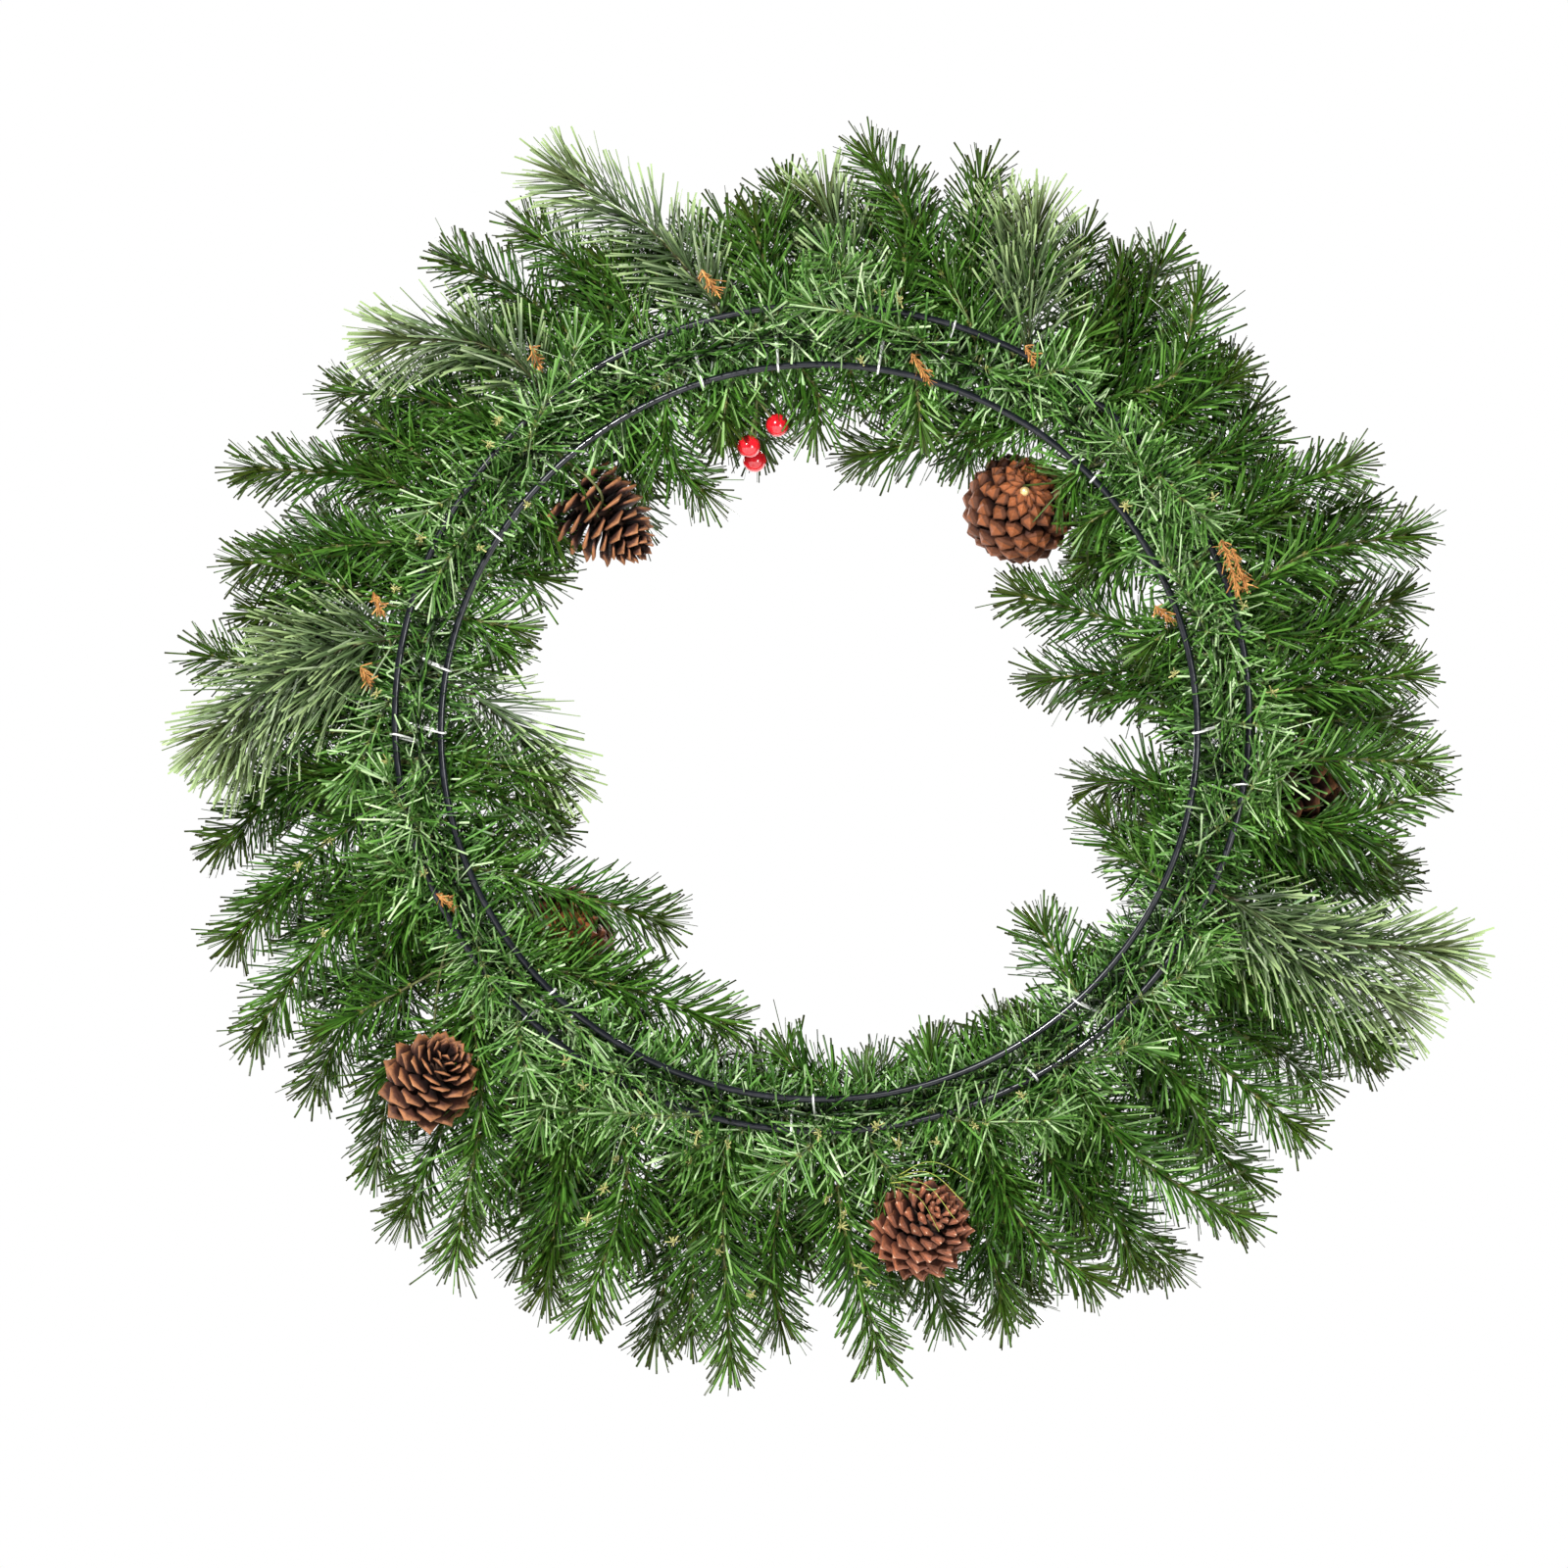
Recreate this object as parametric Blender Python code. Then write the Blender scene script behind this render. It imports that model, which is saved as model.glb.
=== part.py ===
"""
Berry wreath: an artificial pine wreath that hangs by its wire frame.

Two wire rings are tied to a garland, a wire core with short needles all round it. Sprays of pine
and of soft cashmere needles, pine cones and bunches of berries stand out of the garland.
The wreath hangs upright in the XZ plane. Its back, with the rings, faces -Y and its display side
faces +Y. The origin is where a hook carries it: on the underside of the top of the outer ring.
Places are read off the reference photograph, which looks at the wreath's back along +Y.
"""

from math import cos, pi, radians, sin, tau
from random import Random
from typing import NamedTuple

import bmesh
import bpy
import numpy as np
from mathutils import Matrix, Vector

# Driving sizes, in metres
OVERALL_WIDTH = 0.762
RING_WIRE_RADIUS = 0.0020
RING_POINTS = 40
GARLAND_DEPTH = 0.0095
GARLAND_CORE_RADIUS = 0.0012
GARLAND_CORE_SAG = 0.00016
TWIG_RADIUS = 0.0012
TWIG_TIP_RADIUS = 0.0009
TIE_WIRE_RADIUS = 0.0007
TIE_SLACK = 0.0009
CONE_LENGTH = 0.046
CONE_WIRE_RADIUS = 0.0009
CONE_WIRE_STEP = 0.010
CONE_WIRE_BACK = 0.015
CONE_WIRE_ASIDE = 0.024
BERRY_RADIUS = 0.0066
BERRY_WIRE_RADIUS = 0.0008
BERRY_WIRE_SIDES = 5
STRAIGHT_ROOT = 0.0065
CONTACT_GAP = 0.0003
CLEARANCE = 0.0004

# The photograph's pixels that these sizes are scaled from
OVERALL_WIDTH_PX = 1375
METRES_PER_PX = OVERALL_WIDTH / OVERALL_WIDTH_PX

SEED = 4832


class Oval(NamedTuple):
    """A ring's centre line in the photograph, in pixels."""
    centre: tuple
    half_width: float
    half_height: float


OUTER_RING = Oval((839, 733), 436, 421.5)
INNER_RING = Oval((836, 747), 386, 375)
GARLAND = Oval((837.5, 740), 411, 398)
HANG_POINT_PX = (OUTER_RING.centre[0], OUTER_RING.centre[1] - OUTER_RING.half_height)


class Needles(NamedTuple):
    """How needles stand on a twig: lengths in metres, leans from the twig in degrees."""
    spacing: float
    length: float
    lean_at_root: float
    lean_at_tip: float
    bare_root: float


PINE = Needles(spacing=0.0205, length=0.029, lean_at_root=62, lean_at_tip=38, bare_root=0.016)
CASHMERE = Needles(spacing=0.0128, length=0.048, lean_at_root=52, lean_at_tip=24, bare_root=0.022)
FRINGE = Needles(spacing=0.0170, length=0.025, lean_at_root=74, lean_at_tip=74, bare_root=0.004)
WHORL_LENGTH = 0.0024
NEEDLE_ROOT_RADIUS = 0.0016
NEEDLE_ROOT_SHARE = 0.18
NEEDLE_TRIES = 8
NEEDLE_FULL_TRIES = 5
NEEDLE_SWAY = 26
NEEDLE_STRAY = 9
NEEDLE_LENGTH_SHARES = (0.88, 1.08)
NEEDLE_CUT_SHARE = 0.7
NEEDLES_ROUND = 3
FORK_SPACING = 0.006
FORK_WIDTH = 0.003
FORK_BARE_LENGTH = 0.009
BARE_STEP = 0.006
WHORL_TWIST = radians(32)
SHARPEST_TURN = radians(42)
PATH_STEP = 0.003
BEND_DEPTH_SHARE = 0.65
BENDS_ASIDE_PX = (0, 8, -8, 16, -16, 26, -26)
BENDS_DEEPER_MM = (0, 4, -4, 8, -8, 12, -12, 16)
BARE_TIP = 0.004
WHORL_SPACING_SHARES = (0.92, 1.08)
END_NEEDLE_SHARE = 0.8
END_NEEDLE_LEAN = 8
DISPLAY_FACE = 0.107


class Finish(NamedTuple):
    """A plain material: colour, roughness and metallic value."""
    colour: tuple
    roughness: float
    metallic: float


COATED_WIRE = Finish((0.035, 0.040, 0.048), 0.40, 0.0)
SILVER_WIRE = Finish((0.78, 0.78, 0.76), 0.28, 1.0)
PINE_GREEN = Finish((0.060, 0.200, 0.045), 0.50, 0.0)
FRINGE_GREEN = Finish((0.110, 0.260, 0.085), 0.50, 0.0)
CASHMERE_GREEN = Finish((0.210, 0.330, 0.170), 0.60, 0.0)
CONE_BROWN = Finish((0.260, 0.105, 0.045), 0.75, 0.0)
BERRY_RED = Finish((0.620, 0.008, 0.020), 0.18, 0.0)


class Stem(NamedTuple):
    """One twig: the pixels that it bends through and ends at, and its depths there in metres."""
    bend: tuple
    tip: tuple
    depth: float


class Spray(NamedTuple):
    """Twigs that leave the garland as one: the first from the garland, the rest off that one."""
    name: str
    kind: Needles
    root: tuple
    stems: tuple


SPRAYS = (
    Spray("cashmere_top_left", CASHMERE, (748, 351), (
        Stem((668, 238), (582, 181), 0.022),)),
    Spray("cashmere_upper_left", CASHMERE, (583, 432), (
        Stem((510, 361), (412, 355), 0.018),)),
    Spray("cashmere_left", CASHMERE, (438, 652), (
        Stem((305, 684), (222, 762), 0.016), Stem((352, 640), (300, 648), 0.030))),
    Spray("cashmere_right", CASHMERE, (1236, 905), (
        Stem((1330, 972), (1462, 990), 0.020),)),
    Spray("cashmere_top_right", CASHMERE, (1040, 390), (
        Stem((1053, 290), (1057, 232), 0.038), Stem((1035, 280), (1026, 222), 0.052))),
    Spray("cashmere_top", CASHMERE, (880, 345), (
        Stem((864, 268), (842, 204), 0.050),)),
    Spray("cashmere_inner_left", CASHMERE, (430, 690), (
        Stem((500, 722), (558, 786), 0.046),)),
    Spray("pine_top_left", PINE, (638, 391), (
        Stem((610, 290), (540, 232), 0.052), Stem((555, 315), (462, 262), 0.074))),
    Spray("pine_upper_left", PINE, (540, 472), (
        Stem((400, 482), (258, 476), 0.055), Stem((440, 408), (352, 398), 0.040))),
    Spray("pine_left_high", PINE, (470, 565), (
        Stem((345, 556), (262, 578), 0.048), Stem((345, 600), (268, 626), 0.070))),
    Spray("pine_left_low", PINE, (428, 778), (
        Stem((310, 790), (222, 862), 0.068), Stem((315, 875), (236, 960), 0.034),
        Stem((325, 705), (212, 668), 0.086))),
    Spray("pine_lower_left_high", PINE, (445, 860), (
        Stem((335, 950), (260, 1052), 0.040), Stem((365, 1015), (318, 1108), 0.068),
        Stem((410, 1010), (380, 1190), 0.088))),
    Spray("pine_lower_left_low", PINE, (500, 970), (
        Stem((490, 1130), (464, 1280), 0.024), Stem((450, 1150), (412, 1240), 0.056))),
    Spray("pine_bottom_left_outer", PINE, (610, 1070), (
        Stem((640, 1190), (597, 1338), 0.020), Stem((555, 1190), (533, 1285), 0.084))),
    Spray("pine_bottom_left_inner", PINE, (745, 1128), (
        Stem((738, 1250), (745, 1386), 0.020), Stem((692, 1240), (668, 1366), 0.068),
        Stem((775, 1250), (802, 1332), 0.052))),
    Spray("pine_bottom", PINE, (850, 1138), (
        Stem((860, 1245), (896, 1376), 0.024), Stem((925, 1260), (966, 1344), 0.086))),
    Spray("pine_bottom_right_inner", PINE, (985, 1112), (
        Stem((1040, 1245), (1113, 1306), 0.034), Stem((985, 1265), (1042, 1330), 0.084))),
    Spray("pine_bottom_right_outer", PINE, (1075, 1065), (
        Stem((1160, 1180), (1262, 1240), 0.020), Stem((1115, 1205), (1190, 1288), 0.060))),
    Spray("pine_lower_right_low", PINE, (1150, 1000), (
        Stem((1225, 1070), (1322, 1150), 0.030), Stem((1190, 1120), (1275, 1204), 0.080))),
    Spray("pine_lower_right_high", PINE, (1195, 935), (
        Stem((1305, 1005), (1410, 1066), 0.044), Stem((1275, 1045), (1345, 1106), 0.084))),
    Spray("pine_right_middle_low", PINE, (1246, 790), (
        Stem((1350, 842), (1450, 806), 0.030), Stem((1345, 775), (1450, 777), 0.010))),
    Spray("pine_right_low", PINE, (1243, 830), (
        Stem((1330, 868), (1420, 882), 0.060), Stem((1335, 905), (1426, 904), 0.084))),
    Spray("pine_right_middle", PINE, (1248, 715), (
        Stem((1345, 700), (1438, 688), 0.040), Stem((1330, 728), (1430, 742), 0.084))),
    Spray("pine_right_high", PINE, (1232, 625), (
        Stem((1330, 566), (1435, 545), 0.034), Stem((1325, 630), (1432, 610), 0.074))),
    Spray("pine_upper_right_low", PINE, (1205, 562), (
        Stem((1285, 512), (1375, 466), 0.040), Stem((1300, 535), (1395, 520), 0.080))),
    Spray("pine_upper_right_high", PINE, (1165, 495), (
        Stem((1262, 452), (1277, 412), 0.060), Stem((1205, 420), (1232, 385), 0.080))),
    Spray("pine_top_right", PINE, (1110, 430), (
        Stem((1095, 305), (1106, 240), 0.080), Stem((1158, 330), (1190, 258), 0.062),
        Stem((1195, 385), (1222, 305), 0.030))),
    Spray("pine_top", PINE, (992, 374), (
        Stem((958, 265), (898, 160), 0.034), Stem((990, 265), (1003, 178), 0.064),
        Stem((935, 270), (926, 195), 0.084))),
    Spray("pine_top_middle", PINE, (815, 345), (
        Stem((822, 265), (804, 192), 0.070), Stem((785, 295), (768, 255), 0.036))),
    Spray("pine_inner_top_right", PINE, (1085, 415), (
        Stem((985, 440), (882, 463), 0.050),)),
    Spray("pine_inner_top", PINE, (795, 352), (
        Stem((770, 415), (775, 446), 0.060), Stem((835, 405), (832, 430), 0.030))),
    Spray("pine_inner_top_left", PINE, (680, 381), (
        Stem((680, 460), (715, 498), 0.040), Stem((635, 475), (648, 528), 0.074))),
    Spray("pine_inner_left_high", PINE, (456, 600), (
        Stem((510, 582), (548, 588), 0.046), Stem((480, 640), (510, 660), 0.028))),
    Spray("pine_inner_left_low", PINE, (455, 892), (
        Stem((580, 905), (672, 928), 0.055),)),
    Spray("pine_inner_bottom_left", PINE, (522, 1000), (
        Stem((620, 1005), (742, 1045), 0.030),)),
    Spray("pine_inner_bottom", PINE, (876, 1137), (
        Stem((895, 1085), (905, 1066), 0.045), Stem((815, 1085), (800, 1062), 0.030))),
    Spray("pine_inner_bottom_right", PINE, (1110, 1030), (
        Stem((1085, 985), (1064, 948), 0.040), Stem((1040, 1060), (1012, 1040), 0.060))),
    Spray("pine_inner_right_low", PINE, (1228, 864), (
        Stem((1180, 800), (1125, 798), 0.060), Stem((1165, 875), (1132, 842), 0.034))),
    Spray("pine_inner_right_high", PINE, (1245, 665), (
        Stem((1135, 632), (1046, 607), 0.045), Stem((1140, 685), (1068, 692), 0.070))),
)


class Crown(NamedTuple):
    """A twig over the garland: pixels outwards of it, turn along it, how far below the face."""
    outwards: float
    along: float
    below_face: float


CROWNS = (
    Crown(outwards=-22, along=0.045, below_face=0.0),
    Crown(outwards=38, along=-0.045, below_face=0.010),
    Crown(outwards=4, along=0.020, below_face=0.004),
)
CROWN_BEND_SHARE = 0.4
CROWN_NEEDLE_SPACING_SHARE = 1.35


class Cone(NamedTuple):
    """A pine cone: its wire's root, its middle and depth, the way its tip points, how open."""
    name: str
    root: tuple
    middle: tuple
    depth: float
    towards_tip: tuple
    is_open: bool


CONES = (
    Cone("cone_upper_left", (560, 455), (622, 533), 0.022, (0.74, -0.25, -0.62), True),
    Cone("cone_upper_right", (1140, 465), (1040, 520), 0.050, (-0.12, 0.90, -0.40), False),
    Cone("cone_lower_left", (480, 935), (443, 1096), 0.002, (0.33, -0.80, 0.50), True),
    Cone("cone_bottom", (925, 1130), (942, 1252), 0.012, (0.41, -0.78, 0.47), False),
    Cone("cone_right", (1248, 755), (1338, 806), 0.060, (0.55, 0.75, -0.25), True),
    Cone("cone_inner_left", (466, 910), (574, 958), 0.070, (-0.10, 0.95, -0.20), False),
)


class Bunch(NamedTuple):
    """A bunch of berries: where its wire leaves the garland, then each berry and its depth."""
    name: str
    root: tuple
    berries: tuple


BUNCHES = (
    Bunch("berries_top", (768, 349), (
        (764, 455, 0.020), (770, 469, 0.034), (793, 433, 0.026))),
    Bunch("berries_lower_left", (488, 949), (
        (431, 1136, 0.042), (452, 1118, 0.054))),
)


TIE_SWINGS = (radians(-90), radians(-30), radians(30), radians(90))


class Tie(NamedTuple):
    """A wire tie: its name, the ring that it holds, and the pixel where it crosses that ring."""
    name: str
    ring: Oval
    place: tuple


TIES = (
    Tie("tie_inner_top_left", INNER_RING, (738, 386)),
    Tie("tie_inner_top_right", INNER_RING, (909, 380)),
    Tie("tie_inner_right", INNER_RING, (1222, 746)),
    Tie("tie_inner_bottom_left", INNER_RING, (576, 1021)),
    Tie("tie_inner_left", INNER_RING, (451, 766)),
    Tie("tie_outer_top", OUTER_RING, (946, 320)),
)


def at_pixel(place, depth):
    """Turn a pixel of the photograph and a depth behind the rings into a point in metres."""
    return Vector((
        (place[0] - HANG_POINT_PX[0]) * METRES_PER_PX,
        depth,
        (HANG_POINT_PX[1] - place[1]) * METRES_PER_PX + RING_WIRE_RADIUS,
    ))


def on_oval(oval, angle, depth):
    """Return the point of a ring's centre line at an angle, from +X over +Z."""
    return at_pixel((
        oval.centre[0] + oval.half_width * cos(angle),
        oval.centre[1] - oval.half_height * sin(angle),
    ), depth)


def angle_of(oval, place):
    """Return the angle at which a ring passes nearest to a pixel."""
    across = (place[0] - oval.centre[0]) / oval.half_width
    up = (oval.centre[1] - place[1]) / oval.half_height
    return np.arctan2(up, across) % tau


def beside_oval(oval, angle, outwards):
    """Return the pixel that lies a number of pixels outwards of a ring, at an angle."""
    return (
        oval.centre[0] + (oval.half_width + outwards) * cos(angle),
        oval.centre[1] - (oval.half_height + outwards) * sin(angle))


NO_WHORL = -1


class Space:
    """The room that is taken: tapered limbs, each with the name of the node it belongs to."""

    def __init__(self, most=12000):
        self.start = np.zeros((most, 3))
        self.end = np.zeros((most, 3))
        self.radius = np.zeros((most, 2))
        self.owner = np.empty(most, dtype=object)
        self.whorl = np.full(most, NO_WHORL)
        self.count = 0

    def add(self, owner, start, end, start_radius, end_radius, whorl=NO_WHORL):
        """Take the room of one limb, a needle's with the number of its whorl."""
        self.start[self.count] = start
        self.end[self.count] = end
        self.radius[self.count] = start_radius, end_radius
        self.owner[self.count] = owner
        self.whorl[self.count] = whorl
        self.count += 1

    def limbs_of(self, owner):
        """Tell of each limb whether it is a node's own."""
        return self.owner[:self.count] == owner

    def needles_outside(self, whorl):
        """Tell of each limb whether it is a needle of another whorl."""
        whorls = self.whorl[:self.count]
        return (whorls != NO_WHORL) & (whorls != whorl)

    def far_from(self, point, distance):
        """Tell of each limb whether it stands further from a point than a distance."""
        return self.gaps(point, point, 0.0, 0.0) > distance

    def gaps(self, start, end, start_radius, end_radius):
        """Return the gap from a limb to each of the limbs that are there."""
        first = self.start[:self.count]
        along = self.end[:self.count] - first
        radius = self.radius[:self.count]
        start = np.array(start)
        reach = np.array(end) - start
        between = start - first
        reach_squared = max(reach @ reach, 1e-12)
        along_squared = np.maximum((along * along).sum(axis=1), 1e-12)
        along_between = (along * between).sum(axis=1)
        reach_between = between @ reach
        both = along @ reach
        parallel = reach_squared * along_squared - both * both
        share = np.where(parallel > 1e-14, both * along_between - reach_between * along_squared, 0)
        share = np.clip(share / np.maximum(parallel, 1e-14), 0, 1)
        other = np.clip((both * share + along_between) / along_squared, 0, 1)
        share = np.clip((both * other - reach_between) / reach_squared, 0, 1)
        apart = between + share[:, None] * reach - other[:, None] * along
        taken = start_radius + (end_radius - start_radius) * share
        taken += radius[:, 0] + (radius[:, 1] - radius[:, 0]) * other
        return np.linalg.norm(apart, axis=1) - taken


class Shoot:
    """A growing end: a face extruded from one cross-section to the next, taking room as it goes."""

    def __init__(self, model, face, axis, owner=None, space=None):
        self.model = model
        self.face = face
        self.owner = owner
        self.space = space
        self.centre = face.calc_center_median()
        self.grown = 0.0
        self.axis = axis.normalized()
        first = face.verts[0].co - face.calc_center_median()
        self.across = (first - self.axis * first.dot(self.axis)).normalized()
        self.across = Matrix.Rotation(self.offset_angle(), 3, self.axis) @ self.across

    def offset_angle(self):
        """Return the mean angle by which the face's corners stray from even ones."""
        centre = self.face.calc_center_median()
        up = self.axis.cross(self.across)
        strays = []
        for index, vertex in enumerate(self.face.verts):
            corner = vertex.co - centre
            angle = np.arctan2(corner.dot(up), corner.dot(self.across))
            stray = angle - tau * index / len(self.face.verts)
            strays.append((stray + pi) % tau - pi)
        return float(np.mean(strays))

    def extend(self, centre, axis, radius, twist=0.0):
        """Extrude the end face to a regular section and return the side faces it leaves."""
        self.axis = axis.normalized()
        self.across = (self.across - self.axis * self.across.dot(self.axis)).normalized()
        self.across = Matrix.Rotation(twist, 3, self.axis) @ self.across
        up = self.axis.cross(self.across)
        if self.space:
            self.space.add(self.owner, self.centre, centre, radius, radius)
        self.centre = centre
        self.face = bmesh.ops.extrude_discrete_faces(self.model, faces=[self.face])["faces"][0]
        for index, vertex in enumerate(self.face.verts):
            angle = tau * index / len(self.face.verts)
            vertex.co = centre + radius * (cos(angle) * self.across + sin(angle) * up)
        return [
            side
            for edge in self.face.edges
            for side in edge.link_faces
            if side is not self.face
        ]

    def follow(self, path, length, radius, twist=0.0):
        """Extend along a path to a length and return the side faces it leaves."""
        self.grown = length
        return self.extend(path.at(length), path.axis_at(length), radius, twist)


def start_shoot(model, centre, axis, radius, sides, owner=None, space=None):
    """Begin a shoot with a regular end face across an axis."""
    turn = axis.to_track_quat("Z", "Y").to_matrix().to_4x4()
    circle = bmesh.ops.create_circle(
        model, cap_ends=True, segments=sides, radius=radius,
        matrix=Matrix.Translation(centre) @ turn)
    face = circle["verts"][0].link_faces[0]
    face.normal_update()
    if face.normal.dot(axis) < 0:
        face.normal_flip()
    return Shoot(model, face, axis, owner, space)


class Path:
    """A smooth curve through a few points, read by its length."""

    STEPS = 24

    def __init__(self, knots):
        spans = [end - start for start, end in zip(knots, knots[1:])]
        ways = [span.normalized() for span in spans]
        headings = [ways[0]]
        headings += [(before + after).normalized() for before, after in zip(ways, ways[1:])]
        headings.append(ways[-1])
        self.points = []
        for index, span in enumerate(spans):
            leave = headings[index] * span.length
            arrive = headings[index + 1] * span.length
            for step in range(self.STEPS):
                share = step / self.STEPS
                self.points.append(knots[index] + self.along_span(span, leave, arrive, share))
        self.points.append(knots[-1])
        steps = [(end - start).length for start, end in zip(self.points, self.points[1:])]
        self.lengths = np.concatenate([[0.0], np.cumsum(steps)])
        self.length = float(self.lengths[-1])

    @staticmethod
    def along_span(span, leave, arrive, share):
        """Return how far a Hermite span has come from its start, for a share of it."""
        square = share * share
        cube = square * share
        return (
            leave * (cube - 2 * square + share)
            + span * (3 * square - 2 * cube)
            + arrive * (cube - square))

    def at(self, length):
        """Return the point at a length along the curve."""
        return Vector(
            float(np.interp(length, self.lengths, [point[axis] for point in self.points]))
            for axis in range(3))

    def axis_at(self, length):
        """Return the curve's direction at a length."""
        reach = 0.0006
        ahead = self.at(min(length + reach, self.length))
        behind = self.at(max(length - reach, 0.0))
        return (ahead - behind).normalized()


def set_material(thing, finish):
    """Give an object its own Principled material."""
    material = bpy.data.materials.new(thing.name)
    material.use_nodes = True
    shader = material.node_tree.nodes["Principled BSDF"]
    shader.inputs["Base Color"].default_value = (*finish.colour, 1.0)
    shader.inputs["Roughness"].default_value = finish.roughness
    shader.inputs["Metallic"].default_value = finish.metallic
    thing.data.materials.append(material)


def finish_mesh(name, model, collection):
    """Close a grown mesh, split it into triangles and put it in the collection as an object."""
    rims = [edge for edge in model.edges if edge.is_boundary]
    bmesh.ops.holes_fill(model, edges=rims, sides=0)
    bmesh.ops.triangulate(model, faces=model.faces)
    bmesh.ops.recalc_face_normals(model, faces=model.faces)
    mesh = bpy.data.meshes.new(name)
    model.to_mesh(mesh)
    model.free()
    thing = bpy.data.objects.new(name, mesh)
    collection.objects.link(thing)
    return thing


ROUND_WIRE = 1
SQUARE_WIRE = 0


def wire_loop(name, points, radius, resolution, finish, collection):
    """Make a closed loop of round wire through points."""
    curve = bpy.data.curves.new(name, "CURVE")
    curve.dimensions = "3D"
    curve.bevel_depth = radius
    curve.bevel_resolution = resolution
    spline = curve.splines.new("POLY")
    spline.points.add(len(points) - 1)
    for knot, point in zip(spline.points, points):
        knot.co = (*point, 1.0)
    spline.use_cyclic_u = True
    thing = bpy.data.objects.new(name, curve)
    collection.objects.link(thing)
    set_material(thing, finish)
    return thing


def make_ring(name, oval, space, collection):
    """Make one wire ring of the frame."""
    points = [on_oval(oval, tau * index / RING_POINTS, 0.0) for index in range(RING_POINTS)]
    wire_loop(name, points, RING_WIRE_RADIUS, ROUND_WIRE, COATED_WIRE, collection)
    for start, end in zip(points, points[1:] + points[:1]):
        space.add(name, start, end, RING_WIRE_RADIUS, RING_WIRE_RADIUS)


def make_tie(tie, space, collection):
    """Make a tie: a long loop of thin wire round a corner of a ring and the garland's core."""
    angle = round(angle_of(tie.ring, tie.place) / tau * RING_POINTS) / RING_POINTS * tau
    ring_point = on_oval(tie.ring, angle, 0.0)
    core_point = on_oval(GARLAND, angle, GARLAND_DEPTH)
    along = (core_point - ring_point).normalized()
    tangent = (on_oval(tie.ring, angle + 0.01, 0.0) - ring_point).normalized()
    side = along.cross(tangent).normalized()
    ends = (
        (ring_point, -along, side, RING_WIRE_RADIUS),
        (core_point, along, -side, GARLAND_CORE_RADIUS),
    )
    points = []
    for centre, outwards, turn, radius in ends:
        wrap = radius + TIE_WIRE_RADIUS + TIE_SLACK
        for swing in TIE_SWINGS:
            points.append(centre + wrap * (cos(swing) * outwards + sin(swing) * turn))
    wire_loop(tie.name, points, TIE_WIRE_RADIUS, SQUARE_WIRE, SILVER_WIRE, collection)
    for start, end in zip(points, points[1:] + points[:1]):
        space.add(tie.name, start, end, TIE_WIRE_RADIUS, TIE_WIRE_RADIUS)


def leave_garland(root, towards):
    """Return the end of a wire that butts on the garland's core, and its way out of it."""
    angle = angle_of(GARLAND, root)
    core_point = on_oval(GARLAND, angle, GARLAND_DEPTH)
    tangent = (on_oval(GARLAND, angle + 0.01, GARLAND_DEPTH) - core_point).normalized()
    outwards = towards - core_point
    outwards = (outwards - tangent * outwards.dot(tangent)).normalized()
    radial = (core_point - at_pixel(GARLAND.centre, GARLAND_DEPTH)).normalized()
    reach = GARLAND_CORE_RADIUS + CONTACT_GAP - GARLAND_CORE_SAG * outwards.dot(radial)
    return core_point + outwards * reach, outwards


class Dressing(NamedTuple):
    """A face that a needle will stand on, the twig's axis there and the needle's shape."""
    face: bmesh.types.BMFace
    axis: Vector
    length: float
    lean: float
    whorl: int


def needle_way(face, axis, lean, sway):
    """Return a needle's direction: leaning from the twig, swung round it by an angle."""
    outwards = (face.normal - axis * face.normal.dot(axis)).normalized()
    outwards = Matrix.Rotation(sway, 3, axis) @ outwards
    return (axis * cos(lean) + outwards * sin(lean)).normalized()


def needle_is_clear(start, tip, owner, whorl, space):
    """Tell whether a needle stands off the other nodes, its own twigs and their needles."""
    free = start.lerp(tip, NEEDLE_ROOT_SHARE)
    radius = NEEDLE_ROOT_RADIUS
    free_radius = radius * (1 - NEEDLE_ROOT_SHARE)
    own = space.limbs_of(owner)
    crossing = own & (space.needles_outside(whorl) | space.far_from(start, radius))
    gaps = np.concatenate([
        space.gaps(start, tip, radius, 0.0)[~own],
        space.gaps(free, tip, free_radius, 0.0)[own],
        space.gaps(start, free, radius, free_radius)[crossing],
    ])
    return gaps.min(initial=1.0) > CLEARANCE


def raise_needle(model, dressing, owner, space, random):
    """Raise one needle from a face of the twig, turned or shortened until it is clear."""
    centre = dressing.face.calc_center_median()
    dressing.face.normal_update()
    for attempt in range(NEEDLE_TRIES):
        sway = radians(random.uniform(-NEEDLE_SWAY, NEEDLE_SWAY))
        lean = radians(dressing.lean + random.uniform(-NEEDLE_STRAY, NEEDLE_STRAY))
        share = random.uniform(*NEEDLE_LENGTH_SHARES)
        if attempt >= NEEDLE_FULL_TRIES:
            share *= NEEDLE_CUT_SHARE
        way = needle_way(dressing.face, dressing.axis, lean, sway)
        tip = centre + way * dressing.length * share
        if needle_is_clear(centre, tip, owner, dressing.whorl, space):
            space.add(owner, centre, tip, NEEDLE_ROOT_RADIUS, 0.0, dressing.whorl)
            peak = bmesh.ops.poke(model, faces=[dressing.face])["verts"][0]
            peak.co = tip
            return


def lay_path(path, radius, owner, space, step=0.008):
    """Take the room of a wire along its path, in straight steps."""
    count = round(path.length / step)
    points = [path.at(path.length * index / count) for index in range(count + 1)]
    for start, end in zip(points, points[1:]):
        space.add(owner, start, end, radius, radius)


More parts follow.
